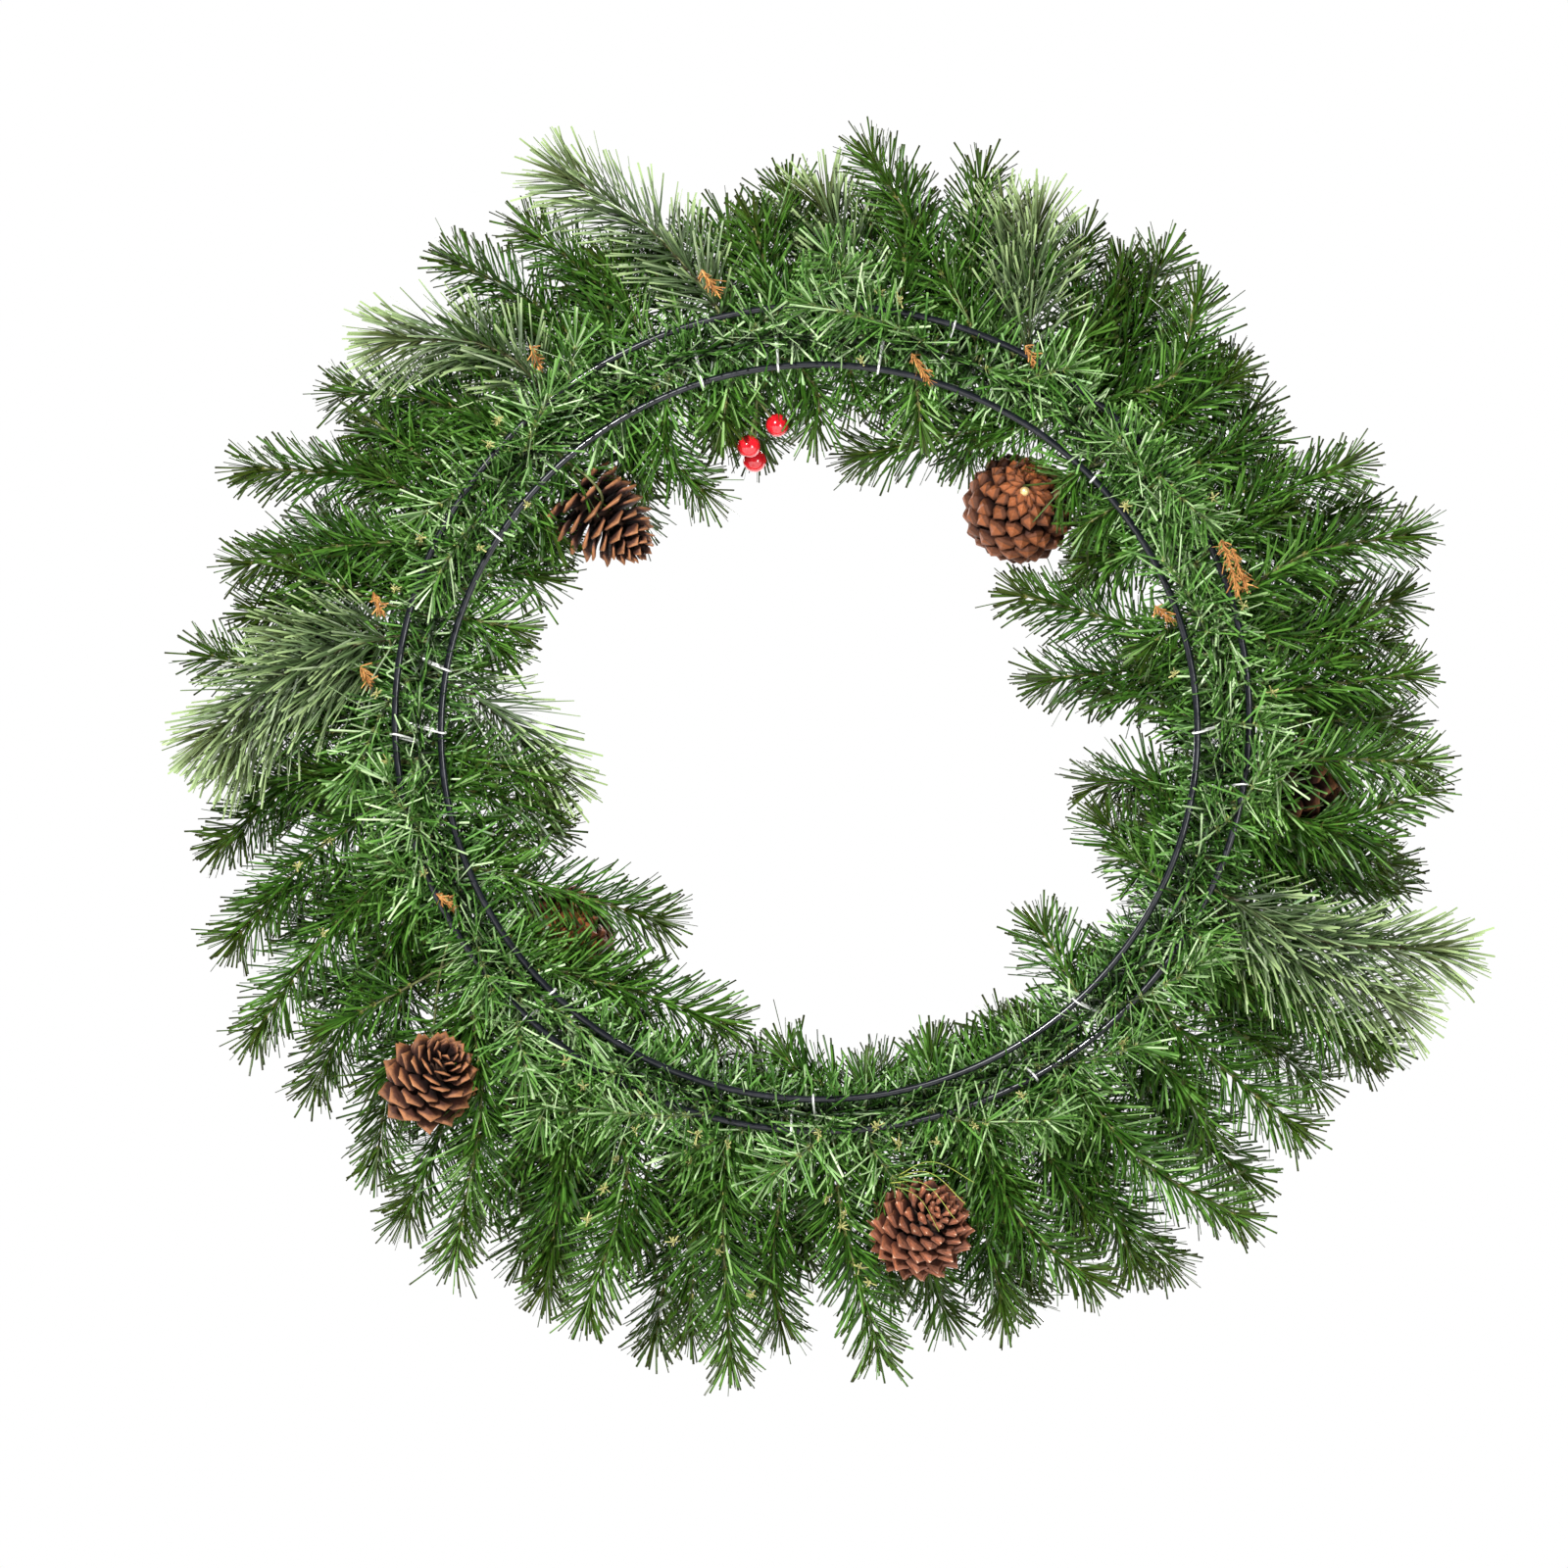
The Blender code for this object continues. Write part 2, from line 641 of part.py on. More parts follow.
def path_is_clear(path, space):
    """Tell whether a twig turns gently and stays off all but the limb that it grows from."""
    count = max(int(path.length / PATH_STEP), 2)
    points = [path.at(path.length * index / count) for index in range(count + 1)]
    ways = [end - start for start, end in zip(points, points[1:])]
    if max(way.angle(turned) for way, turned in zip(ways, ways[1:])) > SHARPEST_TURN:
        return False
    beside_root = space.far_from(points[0], TWIG_RADIUS + CLEARANCE)
    for start, end in zip(points, points[1:]):
        gaps = space.gaps(start, end, TWIG_RADIUS, TWIG_RADIUS)
        if start is points[0]:
            gaps = gaps[beside_root]
        if gaps.min(initial=1.0) < CLEARANCE:
            return False
    return True


def bend_clear(start, outwards, stem, space):
    """Lead a twig to its tip, bent deeper, nearer or aside until it is clear of the rest."""
    run = Vector(stem.tip) - Vector(stem.bend)
    sideways = Vector((-run.y, run.x)).normalized()
    for aside in BENDS_ASIDE_PX:
        for deeper in BENDS_DEEPER_MM:
            depth = stem.depth + deeper / 1000
            bend_depth = GARLAND_DEPTH + (depth - GARLAND_DEPTH) * BEND_DEPTH_SHARE
            bend = at_pixel(Vector(stem.bend) + sideways * aside, bend_depth)
            knots = [start, start + outwards * STRAIGHT_ROOT, bend, at_pixel(stem.tip, depth)]
            path = Path(knots)
            if path_is_clear(path, space):
                return path
    return None


def dress_twig(shoot, path, begin, kind, random, dressings):
    """Grow a twig along its path and note the faces that needles will stand on."""
    length = shoot.grown
    while length < begin:
        length += BARE_STEP
        shoot.follow(path, length, TWIG_RADIUS)
    length += WHORL_LENGTH
    while length < path.length - BARE_TIP:
        for offset in (-WHORL_LENGTH / 2, WHORL_LENGTH / 2):
            share = (length + offset) / path.length
            radius = TWIG_RADIUS + (TWIG_TIP_RADIUS - TWIG_RADIUS) * share
            twist = WHORL_TWIST if offset < 0 else 0.0
            sides = shoot.follow(path, length + offset, radius, twist)
        lean = kind.lean_at_root + (kind.lean_at_tip - kind.lean_at_root) * length / path.length
        whorl = len(dressings)
        dressings.extend(Dressing(side, shoot.axis, kind.length, lean, whorl) for side in sides)
        length += kind.spacing * random.uniform(*WHORL_SPACING_SHARES)
    shoot.follow(path, path.length, TWIG_TIP_RADIUS)
    end_length = kind.length * END_NEEDLE_SHARE
    dressings.append(Dressing(shoot.face, shoot.axis, end_length, END_NEEDLE_LEAN, len(dressings)))


def fork(sides, stem, space):
    """Choose the side face that a forked twig can leave by, and return it with the twig's path."""
    for side in sides:
        side.normal_update()
    heading = at_pixel(stem.bend, stem.depth) - sides[0].calc_center_median()
    for side in sorted(sides, key=lambda face: -face.normal.dot(heading)):
        path = bend_clear(side.calc_center_median(), side.normal.copy(), stem, space)
        if path:
            return side, path
    return None, None


def grows_inwards(spray):
    """Tell whether a spray's first twig ends inside the garland's ring."""
    tip = spray.stems[0].tip
    across = (tip[0] - GARLAND.centre[0]) / GARLAND.half_width
    up = (tip[1] - GARLAND.centre[1]) / GARLAND.half_height
    return across * across + up * up < 1


def crown_stem(spray, crown):
    """Return the twig that a spray sends up over the garland, to the display side."""
    angle = angle_of(GARLAND, spray.root)
    bend_angle = angle + crown.along * CROWN_BEND_SHARE
    end_needle = spray.kind.length * END_NEEDLE_SHARE
    return Stem(
        beside_oval(GARLAND, bend_angle, crown.outwards * CROWN_BEND_SHARE),
        beside_oval(GARLAND, angle + crown.along, crown.outwards),
        DISPLAY_FACE - crown.below_face - end_needle)


def grow_crown(spray, crown, model, sides, space, random):
    """Grow a spray's twig over the garland and return the faces its needles will stand on."""
    dressings = []
    kind = spray.kind._replace(spacing=spray.kind.spacing * CROWN_NEEDLE_SPACING_SHARE)
    side, path = fork(sides, crown_stem(spray, crown), space)
    if side:
        branch = Shoot(model, side, side.normal.copy(), spray.name, space)
        dress_twig(branch, path, FORK_BARE_LENGTH, kind, random, dressings)
    return dressings


def grow_spray(spray, space, random):
    """Lead a spray's twigs clear of the rest and grow them, still bare."""
    first = spray.stems[0]
    start, outwards = leave_garland(spray.root, at_pixel(first.bend, first.depth * 0.6))
    path = bend_clear(start, outwards, first, space)
    model = bmesh.new()
    shoot = start_shoot(
        model, start, path.axis_at(0.0), TWIG_RADIUS, NEEDLES_ROUND, spray.name, space)
    roots = []
    dressings = []
    shoot.follow(path, BARE_STEP, TWIG_RADIUS)
    for stem in spray.stems[1:]:
        shoot.follow(path, shoot.grown + FORK_SPACING, TWIG_RADIUS)
        roots.append((stem, shoot.follow(path, shoot.grown + FORK_WIDTH, TWIG_RADIUS)))
    crown_sides = []
    if not grows_inwards(spray):
        shoot.follow(path, shoot.grown + FORK_SPACING, TWIG_RADIUS)
        crown_sides = shoot.follow(path, shoot.grown + FORK_WIDTH, TWIG_RADIUS)
    dress_twig(shoot, path, spray.kind.bare_root, spray.kind, random, dressings)
    for stem, sides in roots:
        side, side_path = fork(sides, stem, space)
        if side:
            branch = Shoot(model, side, side.normal.copy(), spray.name, space)
            dress_twig(branch, side_path, FORK_BARE_LENGTH, spray.kind, random, dressings)
    return model, dressings, crown_sides


def grow_sprays(space, collection):
    """Grow every spray's twigs first, then raise the needles that stand clear of them all."""
    random = Random(SEED)
    grown = [(spray, *grow_spray(spray, space, random)) for spray in SPRAYS]
    crowned = 0
    for spray, model, dressings, crown_sides in grown:
        if crown_sides:
            crown = CROWNS[crowned % len(CROWNS)]
            more = grow_crown(spray, crown, model, crown_sides, space, random)
            first_whorl = len(dressings)
            dressings.extend(
                dressing._replace(whorl=dressing.whorl + first_whorl) for dressing in more)
            crowned += 1
    for spray, model, dressings, _ in grown:
        for dressing in dressings:
            raise_needle(model, dressing, spray.name, space, random)
        thing = finish_mesh(spray.name, model, collection)
        set_material(thing, CASHMERE_GREEN if spray.kind is CASHMERE else PINE_GREEN)


GARLAND_PIECES = 5
GARLAND_SPANS = 8
GARLAND_FIRST_JOINT = 0.25
FRINGE_LEAN_SHARES = (0.75, 1.0)


def garland_name(index):
    """Name one length of the garland, counted from +X towards the top."""
    return f"garland_{index + 1}"


def lay_garland(space):
    """Take the room of the garland's core and return each length's path."""
    paths = []
    for index in range(GARLAND_PIECES):
        knots = []
        for step in range(GARLAND_SPANS + 1):
            turns = (index + GARLAND_FIRST_JOINT + step / GARLAND_SPANS) / GARLAND_PIECES
            knots.append(on_oval(GARLAND, tau * turns, GARLAND_DEPTH))
        knots[-1] -= (knots[-1] - knots[-2]).normalized() * CONTACT_GAP
        path = Path(knots)
        lay_path(path, GARLAND_CORE_RADIUS, garland_name(index), space)
        paths.append(path)
    return paths


def grow_garland(paths, space, collection):
    """Grow each length of the garland: a wire core with short needles all round."""
    random = Random(SEED + 1)
    for index, path in enumerate(paths):
        name = garland_name(index)
        model = bmesh.new()
        shoot = start_shoot(
            model, path.at(0.0), path.axis_at(0.0), GARLAND_CORE_RADIUS, NEEDLES_ROUND)
        length = FRINGE.bare_root
        whorl = 0
        while length < path.length - FRINGE.bare_root:
            for offset in (-WHORL_LENGTH / 2, WHORL_LENGTH / 2):
                twist = WHORL_TWIST if offset < 0 else 0.0
                sides = shoot.follow(path, length + offset, GARLAND_CORE_RADIUS, twist)
            whorl += 1
            for side in sides:
                lean = FRINGE.lean_at_root * random.uniform(*FRINGE_LEAN_SHARES)
                heading = shoot.axis if random.random() < 0.5 else -shoot.axis
                dressing = Dressing(side, heading, FRINGE.length, lean, whorl)
                raise_needle(model, dressing, name, space, random)
            length += FRINGE.spacing
        shoot.follow(path, path.length, GARLAND_CORE_RADIUS)
        set_material(finish_mesh(name, model, collection), FRINGE_GREEN)


class ConeRow(NamedTuple):
    """One row of scales: core radius above it, then the scales' length and lean from the axis."""
    core_radius: float
    length: float
    lean: float


OPEN_ROWS = (
    ConeRow(0.0095, 0.0150, 84), ConeRow(0.0100, 0.0165, 76), ConeRow(0.0095, 0.0160, 68),
    ConeRow(0.0080, 0.0140, 58), ConeRow(0.0060, 0.0110, 46), ConeRow(0.0030, 0.0080, 32),
)
CLOSED_ROWS = (
    ConeRow(0.0170, 0.0070, 74), ConeRow(0.0195, 0.0068, 70), ConeRow(0.0190, 0.0066, 62),
    ConeRow(0.0160, 0.0062, 54), ConeRow(0.0110, 0.0056, 44), ConeRow(0.0045, 0.0045, 30),
)
SCALES_ROUND = 7
SCALE_THINNING = 0.42
SCALE_WIDENING = 1.12
CONE_BASE_RADIUS = 0.0070
CONE_BASE_THICKNESS = 0.0010
CONE_CORE_LENGTH = 0.0432


def cone_axis(cone):
    """Return where a cone's base and tip are."""
    towards = Vector(cone.towards_tip).normalized()
    middle = at_pixel(cone.middle, cone.depth)
    return middle - towards * CONE_LENGTH / 2, middle + towards * CONE_LENGTH / 2, towards


def cone_wire(cone):
    """Return the wire's path from the garland's core, past the scales, to the cone's base."""
    base, _, towards = cone_axis(cone)
    start, outwards = leave_garland(cone.root, base)
    aside = start - base
    aside = (aside - towards * aside.dot(towards)).normalized()
    behind = base - towards * CONE_WIRE_BACK + aside * CONE_WIRE_ASIDE
    below = base - towards * CONE_WIRE_BACK * 0.6
    return Path([start, start + outwards * STRAIGHT_ROOT, behind, below, base])


def lay_cone(cone, space):
    """Take the room of a cone and of the wire that carries it."""
    base, tip, towards = cone_axis(cone)
    rows = OPEN_ROWS if cone.is_open else CLOSED_ROWS
    widest = max(row.core_radius + row.length * sin(radians(row.lean)) for row in rows)
    waist = base.lerp(tip, 0.45)
    space.add(cone.name, base, waist, widest - 0.002, widest)
    space.add(cone.name, waist, tip, widest, widest * 0.45)
    lay_path(cone_wire(cone), CONE_WIRE_RADIUS, cone.name, space, CONE_WIRE_STEP)


def raise_scale(model, face, base, towards, row):
    """Extrude one scale from a face of the cone's core: broad across, thin along the cone."""
    centre = face.calc_center_median()
    outwards = centre - base
    outwards = (outwards - towards * outwards.dot(towards)).normalized()
    lean = radians(row.lean)
    way = towards * cos(lean) + outwards * sin(lean)
    end = bmesh.ops.extrude_discrete_faces(model, faces=[face])["faces"][0]
    thin = -towards * sin(lean) + outwards * cos(lean)
    for vertex in end.verts:
        offset = vertex.co - centre
        rise = offset.dot(towards)
        across = offset - towards * rise - outwards * offset.dot(outwards)
        vertex.co = (
            centre + way * row.length - thin * rise * SCALE_THINNING + across * SCALE_WIDENING)


def make_cone(cone, collection):
    """Grow a pine cone on its wire: a core in rows, with a scale on each face."""
    base, tip, towards = cone_axis(cone)
    path = cone_wire(cone)
    model = bmesh.new()
    shoot = start_shoot(model, path.at(0.0), path.axis_at(0.0), CONE_WIRE_RADIUS, SCALES_ROUND)
    wire_steps = round(path.length / CONE_WIRE_STEP)
    for step in range(1, wire_steps + 1):
        shoot.follow(path, path.length * step / wire_steps, CONE_WIRE_RADIUS)
    shoot.extend(base + towards * CONE_BASE_THICKNESS, towards, CONE_BASE_RADIUS)
    rows = OPEN_ROWS if cone.is_open else CLOSED_ROWS
    row_height = CONE_CORE_LENGTH / len(rows)
    scales = []
    for index, row in enumerate(rows):
        centre = base + towards * (CONE_BASE_THICKNESS + row_height * (index + 1))
        sides = shoot.extend(centre, towards, row.core_radius, pi / SCALES_ROUND)
        scales.extend((face, row) for face in sides)
    for face, row in scales:
        raise_scale(model, face, base, towards, row)
    set_material(finish_mesh(cone.name, model, collection), CONE_BROWN)


def bunch_wires(bunch):
    """Return the path of each berry's wire, all leaving the garland at one place."""
    berries = [at_pixel(berry[:2], berry[2]) for berry in bunch.berries]
    middle = sum(berries, Vector()) / len(berries)
    start, outwards = leave_garland(bunch.root, middle)
    fork = start.lerp(middle, 0.55)
    paths = [Path([start, start + outwards * STRAIGHT_ROOT, fork, berries[0]])]
    for berry in berries[1:]:
        paths.append(Path([fork, fork.lerp(berry, 0.5), berry]))
    return paths, berries


def lay_bunch(bunch, space):
    """Take the room of a bunch of berries."""
    paths, berries = bunch_wires(bunch)
    for path in paths:
        lay_path(path, BERRY_WIRE_RADIUS, bunch.name, space)
    for berry in berries:
        space.add(bunch.name, berry, berry, BERRY_RADIUS, BERRY_RADIUS)


def union_of(name, pieces, collection):
    """Join loose solids into one with a Boolean union on a collection, then remove them."""
    loose = bpy.data.collections.new(name + "_loose")
    for piece in pieces[1:]:
        loose.objects.link(piece)
    joined = pieces[0]
    collection.objects.link(joined)
    union = joined.modifiers.new("union", "BOOLEAN")
    union.operation = "UNION"
    union.operand_type = "COLLECTION"
    union.collection = loose
    union.solver = "EXACT"
    bpy.context.view_layer.update()
    evaluated = joined.evaluated_get(bpy.context.evaluated_depsgraph_get())
    mesh = bpy.data.meshes.new_from_object(evaluated)
    joined.modifiers.clear()
    joined.data = mesh
    joined.name = name
    for piece in pieces[1:]:
        bpy.data.objects.remove(piece)
    bpy.data.collections.remove(loose)
    return joined


def loose_piece(name, model):
    """Turn a closed mesh into an object that no collection holds yet."""
    mesh = bpy.data.meshes.new(name)
    model.to_mesh(mesh)
    model.free()
    mesh.shade_smooth()
    return bpy.data.objects.new(name, mesh)


def make_bunch(bunch, collection):
    """Make a bunch: round berries on thin wires, joined at their fork."""
    paths, berries = bunch_wires(bunch)
    pieces = []
    for index, path in enumerate(paths):
        model = bmesh.new()
        shoot = start_shoot(
            model, path.at(0.0), path.axis_at(0.0), BERRY_WIRE_RADIUS, BERRY_WIRE_SIDES)
        for length in path.lengths[Path.STEPS // 2::Path.STEPS // 2]:
            shoot.follow(path, length, BERRY_WIRE_RADIUS)
        rims = [edge for edge in model.edges if edge.is_boundary]
        bmesh.ops.holes_fill(model, edges=rims, sides=0)
        pieces.append(loose_piece(f"{bunch.name}_wire_{index}", model))
    for index, berry in enumerate(berries):
        model = bmesh.new()
        bmesh.ops.create_uvsphere(
            model, u_segments=9, v_segments=6, radius=BERRY_RADIUS,
            matrix=Matrix.Translation(berry))
        pieces.append(loose_piece(f"{bunch.name}_berry_{index}", model))
    set_material(union_of(bunch.name, pieces, collection), BERRY_RED)


def main():
    """Build the wreath in an empty scene."""
    for thing in list(bpy.data.objects):
        bpy.data.objects.remove(thing)
    collection = bpy.data.collections.new("berry_wreath")
    bpy.context.scene.collection.children.link(collection)
    space = Space()
    make_ring("ring_outer", OUTER_RING, space, collection)
    make_ring("ring_inner", INNER_RING, space, collection)
    garland_paths = lay_garland(space)
    for tie in TIES:
        make_tie(tie, space, collection)
    for cone in CONES:
        lay_cone(cone, space)
    for bunch in BUNCHES:
        lay_bunch(bunch, space)
    for cone in CONES:
        make_cone(cone, collection)
    for bunch in BUNCHES:
        make_bunch(bunch, collection)
    grow_sprays(space, collection)
    grow_garland(garland_paths, space, collection)


main()
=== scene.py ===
"""
Looks of the berry wreath: an artificial pine wreath that hangs by its wire frame.

The wreath is seen from its back, where two wire rings are tied to a garland of short needles.
Sprays of pine and of soft cashmere needles, pine cones and berries stand out of the garland.
Places are pixels of the reference photograph, which looks along +Y. Depths are metres behind
the rings. All else is in metres.
"""

import logging
from dataclasses import dataclass, replace
from enum import Enum
from itertools import cycle
from math import cos, pi, radians, sin, tau
from typing import NamedTuple, Protocol

import bmesh
import bpy
import numpy as np
from mathutils import Matrix, Vector


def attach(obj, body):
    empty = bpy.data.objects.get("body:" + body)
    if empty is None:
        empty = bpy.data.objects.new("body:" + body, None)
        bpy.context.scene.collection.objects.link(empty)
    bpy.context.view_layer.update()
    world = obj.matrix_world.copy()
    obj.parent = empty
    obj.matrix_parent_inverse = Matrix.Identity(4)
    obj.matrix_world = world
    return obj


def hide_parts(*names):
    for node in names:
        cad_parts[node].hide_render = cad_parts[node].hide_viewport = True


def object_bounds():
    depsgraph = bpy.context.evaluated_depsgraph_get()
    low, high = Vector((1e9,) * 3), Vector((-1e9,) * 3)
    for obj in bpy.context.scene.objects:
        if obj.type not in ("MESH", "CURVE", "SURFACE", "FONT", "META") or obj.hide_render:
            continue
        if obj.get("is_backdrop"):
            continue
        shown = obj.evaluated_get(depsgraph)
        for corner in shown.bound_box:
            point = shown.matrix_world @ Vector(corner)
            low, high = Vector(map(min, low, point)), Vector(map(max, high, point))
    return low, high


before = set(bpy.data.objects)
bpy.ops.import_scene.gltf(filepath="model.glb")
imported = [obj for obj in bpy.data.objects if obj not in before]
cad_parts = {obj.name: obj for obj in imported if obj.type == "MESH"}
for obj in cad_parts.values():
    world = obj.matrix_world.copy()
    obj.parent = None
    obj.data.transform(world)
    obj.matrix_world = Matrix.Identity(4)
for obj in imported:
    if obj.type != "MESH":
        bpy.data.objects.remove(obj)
log = logging.getLogger("berry_wreath")

Pixel = tuple[float, float]
Colour = tuple[float, float, float]
Values = np.ndarray | float

OVERALL_WIDTH = 0.762
OVERALL_WIDTH_PX = 1375
PHOTO_SIZE_PX = 1600
METRES_PER_PX = OVERALL_WIDTH / OVERALL_WIDTH_PX

RING_WIRE_RADIUS = 0.0020
GARLAND_DEPTH = 0.0095
GARLAND_CORE_RADIUS = 0.0012
TWIG_RADIUS = 0.0010
TWIG_TIP_RADIUS = 0.0007
STRAIGHT_ROOT = 0.0065
FIRST_FORK = 0.0135
FORK_SPACING = 0.0090
BEND_DEPTH_SHARE = 0.65
CONE_LENGTH = 0.046
BERRY_RADIUS = 0.0066

MAP_NAME = "OFBake"
WIRE_BAND = 0.12
STRIP_START = 0.05
STRIP_SHARE = 0.9
SEED = 4832
GOLDEN_ANGLE = radians(137.508)
KNOT_PULL = 0.55
END_REACH = 0.10
END_LEAN = 6.0
LEAN_POWER = 1.2
LEAST_LEAN = 1.0
GREATEST_LEAN = 100.0
TURN_STRAY = 1.2
SHORTER_FROM = 0.75
SHORTEST = 0.78
BOW_AHEAD = 0.6
BOW_INWARDS = 0.2
BOW_STRAY = 0.7
# Needles near INSIDE_DEPTH, within INSIDE_REACH of it, get darker tints: painted shade deep in the
# wreath.
INSIDE_DEPTH = 0.056
INSIDE_REACH = 0.050
PAINTED_INSIDE_SHADE = 0.46
DISPLAY_FACE = 0.107
# Tint scales for sprays: SHADED darkens sprays that lie in shade inside the wreath, as painted
# shade.
PLAIN = 1.0
SHADED = 0.78
END_NEEDLE_SHARE = 0.8
CROWN_BEND_SHARE = 0.4
HEADING_DEPTH_SHARE = 0.6
TANGENT_STEP = 0.01
MERGE_DISTANCE = 1e-6
TINY = 1e-9
STEEP = 0.8


@dataclass(frozen=True)
class Oval:
    """A ring's centre line in the photograph."""

    centre: Pixel
    half_width: float
    half_height: float

    def point(self, angle: float, depth: float) -> Vector:
        """Return the point of the centre line at an angle from +X over +Z."""
        return at_pixel(self.pixel(angle), depth)

    def pixel(self, angle: float, out_px: float = 0.0) -> Pixel:
        """Return the pixel at an angle, a way out of the centre line."""
        return (
            self.centre[0] + (self.half_width + out_px) * cos(angle),
            self.centre[1] - (self.half_height + out_px) * sin(angle))

    def angle_of(self, place: Pixel) -> float:
        """Return the angle at which the centre line passes nearest to a pixel."""
        return float(self.angles(*place))

    def shares(self, columns: Values, rows: Values) -> tuple[Values, Values]:
        """Return how far pixels lie right of the centre and above it, in the ring's half sizes."""
        across = (columns - self.centre[0]) / self.half_width
        up = (self.centre[1] - rows) / self.half_height
        return across, up

    def angles(self, columns: Values, rows: Values) -> Values:
        """Return the angles of pixels round the ring, from +X over +Z."""
        across, up = self.shares(columns, rows)
        return np.arctan2(up, across) % tau

    def offsets(self, points: np.ndarray) -> np.ndarray:
        """Return how far outside the centre line points lie in the photograph, in pixels."""
        across, up = self.shares(*pixels_of(points))
        return (np.hypot(across, up) - 1) * (self.half_width + self.half_height) / 2


OUTER_RING = Oval((839, 733), 436, 421.5)
INNER_RING = Oval((836, 747), 386, 375)
GARLAND = Oval((837.5, 740), 411, 398)
HANG_POINT_PX = (OUTER_RING.centre[0], OUTER_RING.centre[1] - OUTER_RING.half_height)


def at_pixel(place: Pixel, depth: float) -> Vector:
    """Turn a pixel of the photograph and a depth behind the rings into a point in metres."""
    return Vector((
        (place[0] - HANG_POINT_PX[0]) * METRES_PER_PX,
        depth,
        (HANG_POINT_PX[1] - place[1]) * METRES_PER_PX + RING_WIRE_RADIUS,
    ))


def pixels_of(points: np.ndarray) -> tuple[np.ndarray, np.ndarray]:
    """Return the columns and rows of the photograph at which points lie."""
    columns = points[..., 0] / METRES_PER_PX + HANG_POINT_PX[0]
    rows = HANG_POINT_PX[1] - (points[..., 2] - RING_WIRE_RADIUS) / METRES_PER_PX
    return columns, rows


def unit(vectors: np.ndarray) -> np.ndarray:
    """Return vectors at a length of one."""
    return vectors / np.maximum(np.linalg.norm(vectors, axis=-1, keepdims=True), TINY)


def crosswise(axes: np.ndarray) -> tuple[np.ndarray, np.ndarray]:
    """Return two unit directions square to each axis and to each other."""
    is_flat = np.abs(axes[..., 1:2]) < STEEP
    guide = np.where(is_flat, [[0.0, 1.0, 0.0]], [[1.0, 0.0, 0.0]])
    across = unit(np.cross(axes, guide))
    return across, np.cross(axes, across)


class Path:
    """A smooth line through a few points, read by its length."""

    STEPS = 24
    REACH = 0.0006

    def __init__(self, knots: list[Vector]) -> None:
        """Lead a smooth line through knots, straight on at each by half the turn there."""
        spans = [end - start for start, end in zip(knots, knots[1:])]
        ways = [span.normalized() for span in spans]
        headings = [ways[0]]
        headings += [(before + after).normalized() for before, after in zip(ways, ways[1:])]
        headings.append(ways[-1])
        points = []
        for index, span in enumerate(spans):
            leave = headings[index] * span.length
            arrive = headings[index + 1] * span.length
            for step in range(self.STEPS):
                share = step / self.STEPS
                points.append(knots[index] + self.along_span(span, leave, arrive, share))
        points.append(knots[-1])
        self.points = np.array([tuple(point) for point in points])
        steps = np.linalg.norm(np.diff(self.points, axis=0), axis=1)
        self.lengths = np.concatenate([[0.0], np.cumsum(steps)])
        self.length = float(self.lengths[-1])

    @staticmethod
    def along_span(span: Vector, leave: Vector, arrive: Vector, share: float) -> Vector:
        """Return how far a span has come from its start, for a share of it."""
        square = share * share
        cube = square * share
        return (
            leave * (cube - 2 * square + share)
            + span * (3 * square - 2 * cube)
            + arrive * (cube - square))

    def at(self, lengths: np.ndarray) -> np.ndarray:
        """Return the points at lengths along the line."""
        axes = [np.interp(lengths, self.lengths, self.points[:, axis]) for axis in range(3)]
        return np.stack(axes, axis=-1)

    def axes_at(self, lengths: np.ndarray) -> np.ndarray:
        """Return the line's directions at lengths along it."""
        ahead = self.at(np.minimum(lengths + self.REACH, self.length))
        behind = self.at(np.maximum(lengths - self.REACH, 0.0))
        return unit(ahead - behind)


class Channel:
    """A number that changes over a surface, worked on as plain arithmetic."""

    def __init__(self, bench: "Bench", socket: bpy.types.NodeSocket) -> None:
        """Wrap the socket that gives the number."""
        self.bench = bench
        self.socket = socket

    def combine(self, operation: str, *values: "Channel | float") -> "Channel":
        """Run a Math node on the values."""
        made = self.bench.node(
            "ShaderNodeMath", {"operation": operation}, dict(enumerate(values)))
        return Channel(self.bench, made.outputs[0])

    def __add__(self, other: "Channel | float") -> "Channel":
        """Add."""
        return self.combine("ADD", self, other)

    def __radd__(self, other: float) -> "Channel":
        """Add to a plain number."""
        return self.combine("ADD", other, self)

    def __sub__(self, other: "Channel | float") -> "Channel":
        """Subtract."""
        return self.combine("SUBTRACT", self, other)

    def __rsub__(self, other: float) -> "Channel":
        """Subtract from a plain number."""
        return self.combine("SUBTRACT", other, self)

    def __mul__(self, other: "Channel | float") -> "Channel":
        """Multiply."""
        return self.combine("MULTIPLY", self, other)

    def __rmul__(self, other: float) -> "Channel":
        """Multiply a plain number."""
        return self.combine("MULTIPLY", other, self)

    def between(self, low: float, high: float) -> "Channel":
        """Return 0 below a low value, 1 above a high one and a smooth step between."""
        made = self.bench.node(
            "ShaderNodeMapRange", {"interpolation_type": "SMOOTHSTEP"},
            {"Value": self, "From Min": low, "From Max": high})
        return Channel(self.bench, made.outputs[0])


